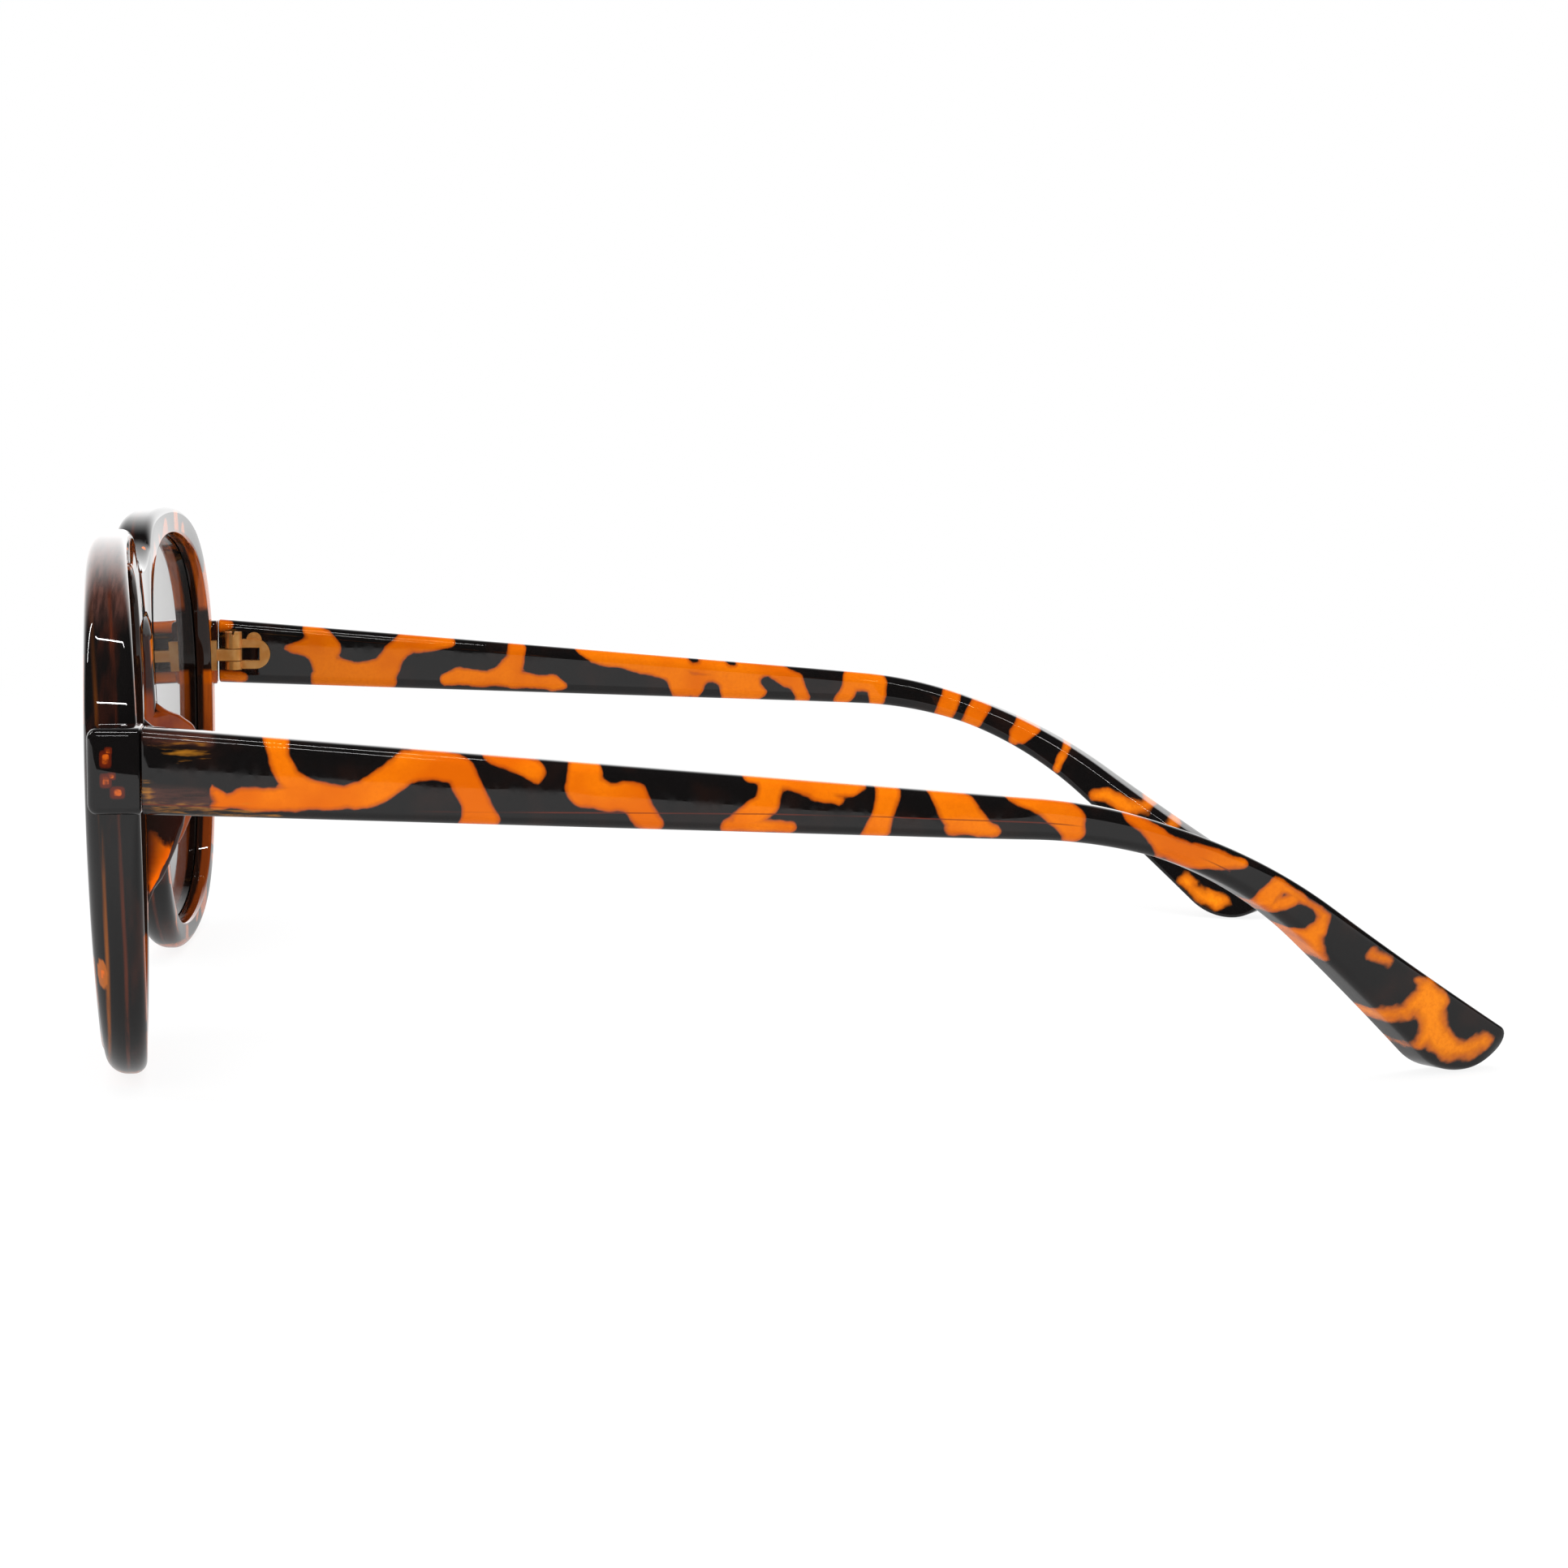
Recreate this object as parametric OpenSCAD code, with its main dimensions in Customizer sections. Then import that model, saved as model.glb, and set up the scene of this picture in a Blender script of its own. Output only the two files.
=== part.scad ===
// Sunglasses with a flat brow, moulded nose pads and hinged temples, in millimetres.
// X runs across the face (+X is the wearer's left), Y runs back along the temples, Z is up.
// The origin is on the table, midway across and midway between the brow and the temple tips.

/* [Lens opening] */
// Width of the opening in each rim
lens_w = 53.4; // [48:0.2:58]
// Height of the opening in each rim
lens_h = 45.7; // [42:0.1:50]
// Distance between the two openings across the nose
bridge_w = 20.6; // [18:0.2:24]

/* [Rims] */
// Width of a rim, seen from the front
rim_w = 3.2; // [2.6:0.1:4]
// Extra width of a rim at its upper nose corner
brow_w = 2.6; // [1:0.1:3.5]
// Depth of a rim from front to back at its middle
rim_d = 5; // [4.8:0.1:6]
// How much thinner a rim is along the brow and the cheek
rim_thin = 1.1; // [0:0.1:1.1]
// Rounding of a rim's outer front edge along the brow
edge_r = 1.3; // [0.6:0.1:1.6]
// Rounding of a rim's outer front edge along the cheek
edge_r_low = 2.1; // [1.2:0.1:2.4]
// Radius of the bow of the whole front, seen from above
face_r = 620; // [400:10:1200]
// Lean of the front, top edge forward, in degrees
lean = 1.5; // [0:0.1:4]

/* [Lenses] */
// Thickness of a lens
lens_t = 1.6; // [1.2:0.05:1.7]
// Distance from the back of a rim to the back of its lens
lens_set = 1.9; // [1.5:0.05:2]
// Depth of the groove that holds a lens
groove_d = 1; // [0.6:0.1:1.4]
// Play between a lens and its groove
lens_play = 0.1; // [0.05:0.05:0.2]

/* [Bridge] */
// Height of the bridge at its middle
bridge_h = 6.3; // [4.5:0.1:8]
// Depth of the bridge from front to back
bridge_d = 4.4; // [3.6:0.1:5]
// Height of the bridge's middle above the middle of the lenses
bridge_rise = 18.2; // [16:0.1:19]

/* [Nose pads] */
// How far a pad stands out behind its rim
pad_reach = 4.5; // [3:0.1:6]
// Thickness of a pad where it leaves the rim
pad_base = 2.3; // [1.8:0.1:2.4]
// Thickness of a pad along its ridge
pad_t = 1.2; // [0.8:0.1:1.8]
// Angle by which a pad spreads towards the back, in degrees
pad_splay = 25; // [10:1:32]

/* [End pieces] */
// How far an end piece stands out beside its rim
lug_w = 4.1; // [3.4:0.1:5.5]
// Height of an end piece and of the temple behind it
lug_h = 7.9; // [6.6:0.1:9.5]
// Depth of an end piece from front to back
lug_d = 4.8; // [4.4:0.1:5.4]
// Height of an end piece's middle above the middle of the lenses
lug_rise = 6.5; // [4:0.2:9]
// Rounding of an end piece's edges
lug_r = 0.7; // [0.3:0.1:1]
// Gap between an end piece and its temple
joint_gap = 0.3; // [0.2:0.05:0.5]

/* [Temples] */
// Length of a temple along its middle line, seen from the side
temple_len = 138.6; // [128:0.2:146]
// Thickness of a temple
temple_t = 3.8; // [3.2:0.1:4.6]
// Height of a temple at its narrow neck
neck_h = 3.2; // [2.8:0.1:4.6]
// Distance from the front of a temple to its neck
neck_at = 95; // [85:0.5:105]
// Height of a temple's tip
tip_h = 8.2; // [6:0.1:10]
// Slope of a temple's straight part, in degrees
droop = 3.5; // [2.5:0.1:5]
// Slope of a temple's tip, in degrees
tip_slope = 39; // [36:0.1:46]
// Radius of the bend between the two
bend_r = 51.5; // [40:0.5:70]
// Distance from the front at which a temple starts to bow inwards
bow_at = 72.7; // [60:0.1:80]
// Radius of that inward bow where it starts
bow_r = 86; // [80:0.5:200]

/* [Hinges] */
// Height of a hinge
hinge_h = 3.7; // [3.2:0.1:4.4]
// Height of the middle knuckle
tongue_h = 1.4; // [1:0.1:1.8]
// Radius of the knuckles
barrel_r = 1.05; // [0.95:0.05:1.3]
// Radius of the hinge screw
screw_r = 0.5; // [0.4:0.05:0.6]
// Height of the screw's head
head_h = 1; // [0.6:0.1:1.2]
// Play between the moving parts of a hinge
hinge_play = 0.1; // [0.06:0.02:0.14]
// Play between a screw and the knuckles, all round
screw_play = 0.05; // [0.02:0.01:0.08]
// Thickness of the hinge leaves
leaf_t = 0.8; // [0.6:0.1:1]
// Length of a temple leaf behind the hinge pin
leaf_len = 4.5; // [4:0.1:5.5]
// Width of the bow that closes a temple leaf's slot
leaf_end = 1.3; // [1:0.1:1.6]
// Distance from the front of a temple to the hinge pin
pin_at = 1.7; // [1.5:0.05:2.2]
// Depth to which the hinge anchors are sunk into the plastic
anchor_d = 2.4; // [1.2:0.1:2.8]

/* [Hidden] */

shell = [0.52, 0.24, 0.07];
smoke = [0.45, 0.43, 0.42, 0.6];
brass = [0.80, 0.60, 0.28];

// Points that one opening passes through, from its nose side over the brow and round,
// as shares of half the opening's width and height.
OPENING = [[-1, 0.51], [-0.914, 0.80], [-0.62, 0.956], [-0.11, 1], [0.41, 0.943], [0.787, 0.78],
           [0.974, 0.447], [0.985, 0.053], [0.90, -0.41], [0.73, -0.816], [0.39, -0.98],
           [-0.04, -1], [-0.41, -0.91], [-0.663, -0.65], [-0.824, -0.276], [-0.944, 0.118]];
// Share of the extra rim width at each of those points.
BROW = [0.23, 1, 0.31, 0.04, 0.04, 0.04, 0, 0, 0, 0, -0.08, -0.08, -0.08, -0.08, -0.08, 0];
// Share of the pad's reach at heights given as shares of half the opening's height.
PAD = [[-0.635, 0], [-0.547, 0.18], [-0.468, 0.44], [-0.372, 0.68], [-0.28, 0.86], [-0.175, 0.97],
       [-0.066, 1], [0.022, 0.97], [0.092, 0.84], [0.153, 0.53], [0.188, 0.2], [0.228, 0]];
STEPS = 4;
STATIONS = len(OPENING) * STEPS;
// Stretch of the opening, in points, along which the nose pad runs.
PAD_FROM = 12.75;
PAD_TO = 15.5;
PAD_STEPS = 28;

function wrap(i, n) = ((i % n) + n) % n;
function mix(a, b, f) = a + (b - a) * f;
function clamp(x) = min(1, max(0, x));
function unit(v) = v / norm(v);

// Smooth closed curve through a list of points or numbers, at a place along it in points.
function knot(list, i) = let(n = len(list))
    list[wrap(i, n)] * 4 / 3 - (list[wrap(i - 1, n)] + list[wrap(i + 1, n)]) / 6;
function curve(list, at) = let(i = floor(at), f = at - i, g = 1 - f)
    (knot(list, i - 1) * g * g * g
     + knot(list, i) * (3 * f * f * f - 6 * f * f + 4)
     + knot(list, i + 1) * (3 * g * g * g - 6 * g * g + 4)
     + knot(list, i + 2) * f * f * f) / 6;

// The opening about its own middle, in X and Z, and the way out of it.
function opening(at) = let(p = curve(OPENING, at)) [p[0] * lens_w / 2, p[1] * lens_h / 2];
function outward(at) = let(t = unit(opening(at + 0.1) - opening(at - 0.1))) [-t[1], t[0]];
function rim_width(at) = rim_w + brow_w * curve(BROW, at);
function outline(at) = opening(at) + outward(at) * rim_width(at);

lens_x = bridge_w / 2 + lens_w / 2;
lens_z = -min([for (i = [0 : STATIONS - 1]) outline(i / STEPS)[1]]);
half_w = bridge_w / 2 + lens_w + rim_w + lug_w;
lug_z = lens_z + lug_rise;
lug_step = 0.35;
groove_wall = 0.3;

// Back of the front: bowed about the face, leaning, and just short of the end pieces' backs.
function back_y(x, z) = -joint_gap - lug_step + (x * x - pow(half_w - lug_w, 2)) / (2 * face_r)
    - tan(lean) * (z - lug_z);
// A place on the left rim: along the opening, n outwards from it and d forward of the back.
function on_rim(at, n, d) = let(
    p = opening(at) + outward(at) * n, x = lens_x + p[0], z = lens_z + p[1])
    [x, back_y(x, z) - d, z];
// Depth of the rim at a height above the middle of the lens.
function depth(z) = rim_d - rim_thin * pow(z / (lens_h / 2 + rim_w), 2);

// Quarter round from one direction to the next, as shares of its two radii.
function arc(from, to, parts) = [for (k = [0 : parts])
    let(a = mix(from, to, k / parts)) [cos(a), sin(a)]];

// Section of a rim: n outwards from the opening, d forward of the back face.
back_r = 0.9;
inner_r = 0.4;
function rim_section(at) = let(
    w = rim_width(at),
    full = depth(outline(at)[1]),
    face = depth(opening(at)[1]),
    low = clamp(0.5 - curve(OPENING, at)[1]),
    front_r = mix(edge_r, edge_r_low, low),
    back_edge = mix(back_r, 1.5 * back_r, low),
    g0 = lens_set - lens_play,
    g1 = lens_set + lens_t + lens_play)
    concat(
        [for (c = arc(180, 270, 2)) [inner_r + inner_r * c[0], inner_r + inner_r * c[1]]],
        [for (c = arc(270, 360, 3)) [w - back_edge + back_edge * c[0], back_edge + back_edge * c[1]]],
        [for (c = arc(0, 90, 4)) [w - front_r + front_r * c[0], full - front_r + front_r * c[1]]],
        [for (c = arc(90, 180, 2)) [inner_r + inner_r * c[0], face - inner_r + inner_r * c[1]]],
        [[0, g1], [groove_d, g1], [groove_d, g0], [0, g0]]);

rim_rings = [for (i = [0 : STATIONS - 1]) let(at = -i / STEPS)
    [for (s = rim_section(at)) on_rim(at, s[0], s[1])]];

// Solid through a row of rings with the same number of points, closed round or capped.
module skin(rings, closed = false) {
    m = len(rings[0]);
    n = len(rings);
    last = closed ? n - 1 : n - 2;
    sides = [for (i = [0 : last]) for (j = [0 : m - 1]) let(
        a = i * m, b = ((i + 1) % n) * m, k = (j + 1) % m)
        each [[a + j, a + k, b + k], [a + j, b + k, b + j]]];
    caps = closed ? [] : [[for (j = [m - 1 : -1 : 0]) j], [for (j = [0 : m - 1]) (n - 1) * m + j]];
    polyhedron(points = [for (r = rings) each r], faces = concat(sides, caps));
}

module both() {
    children();
    mirror([1, 0, 0]) children();
}

module side(s) {
    if (s > 0) children();
    else mirror([1, 0, 0]) children();
}

// Bridge between the rims, arched below and dipped above; its ends run on into the brow.
bridge_z = lens_z + bridge_rise;
bridge_half = bridge_w / 2 - groove_d - groove_wall;
bridge_run = 2;
bridge_end = bridge_half + bridge_run;
bridge_up = 2.35;
bridge_down = 7.2;
bridge_r = 1.2;
bridge_slices = 12;
bridge_inset = 0.1;
slice_t = 0.02;
// Underside of the parts that run on, below and above the bridge's middle.
heel_low = 1.2;
heel_high = 0.3;
function bridge_top(x) = bridge_z + bridge_h / 2 + bridge_up * pow(x / bridge_end, 2);
function bridge_bottom(x) = bridge_z - bridge_h / 2 - bridge_down * pow(x / bridge_end, 2);
function bridge_depth(x) = mix(bridge_d, depth(bridge_top(x) - lens_z) - bridge_inset,
    pow(x / bridge_end, 2));

module bridge_slice(x, low) {
    h = bridge_top(x) - low;
    z = (bridge_top(x) + low) / 2;
    d = bridge_depth(x);
    translate([x, back_y(x, z) - d / 2, z])
        rotate([lean, 0, 0])
            rotate([90, 0, 90])
                linear_extrude(slice_t, center = true)
                    offset(r = bridge_r, $fn = 16)
                        square([d - 2 * bridge_r, h - 2 * bridge_r], center = true);
}

module bridge() {
    step = 2 * bridge_half / bridge_slices;
    for (i = [0 : bridge_slices - 1]) let(x = -bridge_half + i * step) hull() {
        bridge_slice(x, bridge_bottom(x));
        bridge_slice(x + step, bridge_bottom(x + step));
    }
    both() hull() {
        bridge_slice(bridge_half, bridge_z - heel_low);
        bridge_slice(bridge_end, bridge_z + heel_high);
    }
}

// Nose pad: a fin that follows the nose side of the rim and spreads backwards.
pad_root = 0.9;
pad_inset = 0.25;
// Where the fin is lower than pad_fade, its root draws in by pad_tuck and sinks by pad_sink.
pad_fade = 1.5;
pad_tuck = 1.6;
pad_sink = 0.15;
pad_least = 0.05;
function pad_height(at) = let(z = outline(at)[1]) pad_reach * lookup(z / (lens_h / 2), PAD);
function pad_ring(at) = let(
    p = max(pad_least, pad_height(at)),
    r = min(pad_t / 2, 0.8 * p),
    full = clamp(p / pad_fade),
    sink = mix(pad_sink, 0, full),
    out = rim_width(at) - mix(pad_tuck, pad_inset, full),
    in = rim_width(at) - pad_inset - pad_base,
    tip = out - p * tan(pad_splay))
    [for (s = concat(
        [[out, pad_root], [out, 0]],
        [for (c = arc(0, 180, 4)) [tip - r + r * c[0], r - p - r * c[1]]],
        [[in, 0], [in, pad_root]])) on_rim(at, s[0], s[1] + sink)];

module pad() {
    skin([for (i = [0 : PAD_STEPS]) pad_ring(mix(PAD_FROM, PAD_TO, i / PAD_STEPS))]);
}

// End piece: a block with rounded edges that carries the hinge.
lug_in = half_w - lug_w - rim_w + groove_d + groove_wall;
module lug() {
    hull() for (x = [lug_in + lug_r, half_w - lug_r], z = [-1, 1])
        for (y = [-joint_gap - lug_r, -joint_gap - lug_d + lug_r])
            translate([x, y, lug_z + z * (lug_h / 2 - lug_r)])
                sphere(lug_r, $fn = 16);
}

// Hinge: the pin stands upright beside the temple's inner face.
bite = 0.3;
pin_x = half_w - temple_t - leaf_t - barrel_r + bite;
hinge_drop = 0.3;
hinge_z = lug_z - hinge_drop;
bore_r = screw_r + screw_play;
plate_in = pin_x - 5 / 3 * barrel_r;
plate_out = half_w - temple_t - hinge_play;
plate_back = -joint_gap;
anchor_w = 1.5;
anchor_edge = 0.2;
anchor_x = plate_out - anchor_w;
seat_play = 0.05;

module plate(grow = 0) {
    translate([plate_in - grow, plate_back - leaf_t - grow, hinge_z - hinge_h / 2 - grow])
        cube([plate_out - plate_in + 2 * grow, leaf_t + 2 * grow, hinge_h + 2 * grow]);
    h = hinge_h - 2 * anchor_edge;
    translate([anchor_x - grow, plate_back - leaf_t - anchor_d - grow, hinge_z - h / 2 - grow])
        cube([anchor_w + 2 * grow, anchor_d + 2 * grow, h + 2 * grow]);
}

// Lug of the temple leaf, sunk into the temple.
stud_r = 0.95;
stud_back = 2.5;
stud_down = 0.1;
stud_at = pin_at + stud_back;
stud_z = hinge_z + hinge_h / 2 - stud_down;
stud_d = anchor_d / 2;
module stud(grow = 0) {
    translate([half_w - temple_t - leaf_t / 2, stud_at, stud_z])
        rotate([0, 90, 0])
            cylinder(r = stud_r + grow, h = leaf_t / 2 + stud_d + grow, $fn = 48);
}

// Temple: middle line seen from the side, a straight, a bend and a second straight.
tip_l = 7;
tip_r = 1;
tip_flare = 1.8;
bend_arc = bend_r * (tip_slope - droop) * PI / 180;
tip_turn = atan(tip_l * tan(tip_slope) / (tip_h - tip_r));
tip_low = tip_l * (1 - sin(tip_turn)) * sin(tip_slope)
    + (-tip_h / 2 + (tip_h - tip_r) * (1 - cos(tip_turn))) * cos(tip_slope);
drop = lug_z + tip_low;
tip_run = (drop - bend_r * (cos(droop) - cos(tip_slope)) - (temple_len - bend_arc) * sin(droop))
    / (sin(tip_slope) - sin(droop));
bend_at = temple_len - bend_arc - tip_run;
function slope(s) = droop + (tip_slope - droop) * clamp((s - bend_at) / bend_arc);
function line_y(s) = min(s, bend_at) * cos(droop) + bend_r * (sin(slope(s)) - sin(droop))
    + max(s - bend_at - bend_arc, 0) * cos(tip_slope);
function line_z(s) = lug_z - min(s, bend_at) * sin(droop) - bend_r * (cos(droop) - cos(slope(s)))
    - max(s - bend_at - bend_arc, 0) * sin(tip_slope);
function temple_h(s) = s < neck_at ? mix(lug_h, neck_h, s / neck_at)
    : mix(neck_h, tip_h, pow((s - neck_at) / (temple_len - neck_at), tip_flare));
// Lower and upper edge, measured from the middle line, with the tip rounded off.
function low_edge(s) = let(u = clamp((s - temple_len + tip_l) / tip_l))
    -temple_h(s) / 2 + (tip_h - tip_r) * (1 - sqrt(1 - u * u));
function high_edge(s) = let(u = clamp((s - temple_len + tip_r) / tip_r))
    temple_h(s) / 2 - tip_r * (1 - sqrt(1 - u * u));
function bow(y) = pow(max(0, y - bow_at), 2) / (2 * bow_r);
function bow_turn(y) = atan(max(0, y - bow_at) / bow_r);

// Ring of the temple at s along the line, drawn in by e at the ends, upright at the joint.
corner_r = 1.1;
front_round = 0.6;
tip_round = 1.2;
function temple_ring(s, e) = let(
    y = line_y(s), z = line_z(s), a = slope(s) * clamp(s / lug_h), b = bow_turn(y),
    across = [cos(b), sin(b), 0],
    up = [0, sin(a), cos(a)],
    low = low_edge(s) + e, high = high_edge(s) - e, t = temple_t / 2 - e,
    r = max(0.02, min(corner_r, (high - low) * 0.45, t * 0.9)),
    middle = [half_w - bow(y) - temple_t / 2 * cos(b), y - temple_t / 2 * sin(b), z])
    [for (q = [0 : 3]) for (c = arc(90 * q, 90 * q + 90, 3)) let(
        u = (q == 0 || q == 3 ? t - r : r - t) + r * c[0],
        v = (q < 2 ? high - r : low + r) + r * c[1])
        middle + across * u + up * v];
temple_s = concat(
    [for (k = [0 : 3]) let(a = 30 * k) [front_round * (1 - cos(a)), front_round * (1 - sin(a))]],
    [for (s = [bow_at / 3, bow_at * 2 / 3, bow_at]) [s, 0]],
    [for (k = [1 : 20]) [mix(bow_at, temple_len - tip_l, k / 20), 0]],
    [for (k = [1 : 7]) [temple_len - tip_l + (tip_l - tip_r) * sin(90 * k / 7), 0]],
    [for (k = [1 : 3]) let(a = 29 * k) [temple_len - tip_r + tip_r * sin(a), tip_round * (1 - cos(a))]]);
temple_rings = [for (s = temple_s) temple_ring(s[0], s[1])];

// Place of the whole model over the origin.
front_y = min(min([for (r = rim_rings) each [for (p = r) p[1]]]),
              back_y(0, bridge_z + bridge_h / 2) - bridge_d);
rear_y = max([for (r = temple_rings) each [for (p = r) p[1]]]);
middle_y = (front_y + rear_y) / 2;
module place() {
    translate([0, -middle_y, 0]) children();
}

module front_frame() {
    color(shell) place() difference() {
        union() {
            both() {
                skin(rim_rings, closed = true);
                pad();
                lug();
            }
            bridge();
        }
        both() plate(seat_play);
    }
}

// Lens: a sheet bowed like the front, its edge in the groove of the rim.
function lens_ring(k, d) = [for (i = [0 : STATIONS - 1]) let(
    at = i / STEPS, p = (opening(at) + outward(at) * (groove_d - lens_play)) * k,
    x = lens_x + p[0], z = lens_z + p[1]) [x, back_y(x, z) - d, z]];
module lens(s) {
    rings = [lens_ring(0.02, lens_set), lens_ring(0.35, lens_set), lens_ring(0.7, lens_set),
             lens_ring(1, lens_set), lens_ring(1, lens_set + lens_t), lens_ring(0.7, lens_set + lens_t),
             lens_ring(0.35, lens_set + lens_t), lens_ring(0.02, lens_set + lens_t)];
    color(smoke) place() side(s) skin(rings);
}

module temple(s) {
    color(shell) place() side(s) difference() {
        skin(temple_rings);
        stud(seat_play);
    }
}

module knuckle(low, high) {
    translate([pin_x, pin_at, low]) cylinder(r = barrel_r, h = high - low, $fn = 64);
}
module bore() {
    translate([pin_x, pin_at, hinge_z - hinge_h])
        cylinder(r = bore_r, h = 2 * hinge_h, $fn = 64);
}

// Front leaf: a plate let into the end piece, its anchor, and the tongue round the pin.
module front_hinge(s) {
    low = hinge_z - tongue_h / 2;
    color(brass) place() side(s) difference() {
        union() {
            plate();
            translate([pin_x - barrel_r, plate_back - leaf_t / 2, low])
                cube([2 * barrel_r, pin_at - plate_back + leaf_t / 2, tongue_h]);
            knuckle(low, low + tongue_h);
        }
        bore();
    }
}

// Temple leaf: two arms closed by a round bow, two knuckles and the lug in the temple.
leaf_in = half_w - temple_t - leaf_t;
slot_h = tongue_h + 2 * hinge_play;
module temple_hinge(s) {
    low = hinge_z - hinge_h / 2;
    end_r = hinge_h / 2;
    color(brass) place() side(s) difference() {
        union() {
            translate([leaf_in, pin_at, low])
                cube([leaf_t, leaf_len - end_r, hinge_h]);
            translate([leaf_in, pin_at + leaf_len - end_r, hinge_z])
                rotate([0, 90, 0]) cylinder(r = end_r, h = leaf_t, $fn = 64);
            knuckle(low, low + hinge_h);
            stud();
        }
        translate([pin_x - 2 * barrel_r, pin_at - 2 * barrel_r, hinge_z - slot_h / 2])
            cube([4 * barrel_r, 2 * barrel_r + leaf_len - leaf_end, slot_h]);
        bore();
    }
}

// Screw: a slotted head on the top knuckle and a shank down through all three.
slot_w = 0.3;
slot_d = 0.4;
shank_in = 0.1;
module hinge_screw(s) {
    top = hinge_z + hinge_h / 2;
    color(brass) place() side(s) difference() {
        union() {
            translate([pin_x, pin_at, top]) cylinder(r = barrel_r, h = head_h, $fn = 64);
            translate([pin_x, pin_at, top - hinge_h])
                cylinder(r = screw_r, h = hinge_h + shank_in, $fn = 64);
        }
        translate([pin_x - 2 * barrel_r, pin_at - slot_w / 2, top + head_h - slot_d])
            cube([4 * barrel_r, slot_w, head_h]);
    }
}

front_frame();
lens(1);  // left_lens
lens(-1);  // right_lens
temple(1);  // left_temple
temple(-1);  // right_temple
front_hinge(1);  // left_front_hinge
front_hinge(-1);  // right_front_hinge
temple_hinge(1);  // left_temple_hinge
temple_hinge(-1);  // right_temple_hinge
hinge_screw(1);  // left_hinge_screw
hinge_screw(-1);  // right_hinge_screw
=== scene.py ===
import math

import bpy
import bmesh
import numpy as np
from mathutils import Matrix, Vector


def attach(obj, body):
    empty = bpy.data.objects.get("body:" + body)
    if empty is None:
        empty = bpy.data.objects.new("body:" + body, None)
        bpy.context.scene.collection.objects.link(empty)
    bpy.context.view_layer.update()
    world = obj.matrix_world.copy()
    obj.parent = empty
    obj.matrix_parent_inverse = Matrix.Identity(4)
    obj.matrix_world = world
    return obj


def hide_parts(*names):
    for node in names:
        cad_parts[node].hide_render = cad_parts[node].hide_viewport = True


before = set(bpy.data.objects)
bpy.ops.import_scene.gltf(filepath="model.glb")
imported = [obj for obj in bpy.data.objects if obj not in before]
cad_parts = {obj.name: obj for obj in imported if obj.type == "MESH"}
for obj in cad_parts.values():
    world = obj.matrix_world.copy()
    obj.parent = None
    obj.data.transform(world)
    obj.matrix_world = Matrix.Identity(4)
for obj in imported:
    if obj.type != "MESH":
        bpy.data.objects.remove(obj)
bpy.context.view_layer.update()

scene = bpy.context.scene
scene.view_settings.view_transform = "Standard"
MM = 0.001

# Sizes, as in the part's source (mm and degrees)
LENS_W, LENS_H, BRIDGE_W = 53.4, 45.7, 20.6
RIM_W, BROW_W, RIM_D, RIM_THIN = 3.2, 2.6, 5.0, 1.1
EDGE_R, EDGE_R_LOW, FACE_R, LEAN = 1.3, 2.1, 620.0, 1.5
LENS_T, LENS_SET, GROOVE_D, LENS_PLAY = 1.6, 1.9, 1.0, 0.1
BRIDGE_H, BRIDGE_D, BRIDGE_RISE = 6.3, 4.4, 18.2
PAD_REACH, PAD_BASE, PAD_T, PAD_SPLAY = 4.5, 2.3, 1.2, 25.0
LUG_W, LUG_H, LUG_D, LUG_RISE = 4.1, 7.9, 4.8, 6.5
JOINT_GAP, LUG_STEP = 0.3, 0.35
TEMPLE_LEN, TEMPLE_T, NECK_H, NECK_AT, TIP_H = 138.6, 3.8, 3.2, 95.0, 8.2
DROOP, TIP_SLOPE, BEND_R, BOW_AT, BOW_R = 3.5, 39.0, 51.5, 72.7, 86.0
TIP_L, TIP_R, TIP_FLARE, CORNER_R = 7.0, 1.0, 1.8, 1.1
BACK_R, INNER_R = 0.9, 0.4
# Y of the frame's middle in the source's coordinates.
MIDDLE_Y = 61.504

# Points round the left lens opening, as shares of its half width and half height.
OPENING = np.array([[-1, 0.51], [-0.914, 0.80], [-0.62, 0.956], [-0.11, 1], [0.41, 0.943], [0.787, 0.78],
                    [0.974, 0.447], [0.985, 0.053], [0.90, -0.41], [0.73, -0.816], [0.39, -0.98],
                    [-0.04, -1], [-0.41, -0.91], [-0.663, -0.65], [-0.824, -0.276], [-0.944, 0.118]])
# Share of BROW_W by which the rim is wider at each of those points.
BROW = np.array([0.23, 1, 0.31, 0.04, 0.04, 0.04, 0, 0, 0, 0, -0.08, -0.08, -0.08, -0.08, -0.08, 0])
# Heights above the middle of the lens, and the nose pad's share of PAD_REACH there.
PAD = np.array([[-14.5, 0], [-12.5, 0.18], [-10.7, 0.44], [-8.5, 0.68], [-6.4, 0.86], [-4, 0.97],
                [-1.5, 1], [0.5, 0.97], [2.1, 0.84], [3.5, 0.53], [4.3, 0.2], [5.2, 0]])
TURN = len(OPENING)
# Step along the border that gives its direction.
NEARBY = 0.1


def mix(a, b, f):
    return a + (b - a) * f


def clamp(x):
    return min(1.0, max(0.0, x))


def sin(angle):
    return math.sin(math.radians(angle))


def cos(angle):
    return math.cos(math.radians(angle))


def tan(angle):
    return math.tan(math.radians(angle))


def curve(points, at):
    """Place on a smooth closed curve near the points, with at counting points from the first."""
    n = len(points)
    knot = points * 4 / 3 - (np.roll(points, 1, 0) + np.roll(points, -1, 0)) / 6
    i = math.floor(at)
    f = at - i
    g = 1 - f
    return (knot[(i - 1) % n] * g ** 3 + knot[i % n] * (3 * f ** 3 - 6 * f * f + 4)
            + knot[(i + 1) % n] * (3 * g ** 3 - 6 * g * g + 4) + knot[(i + 2) % n] * f ** 3) / 6


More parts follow.
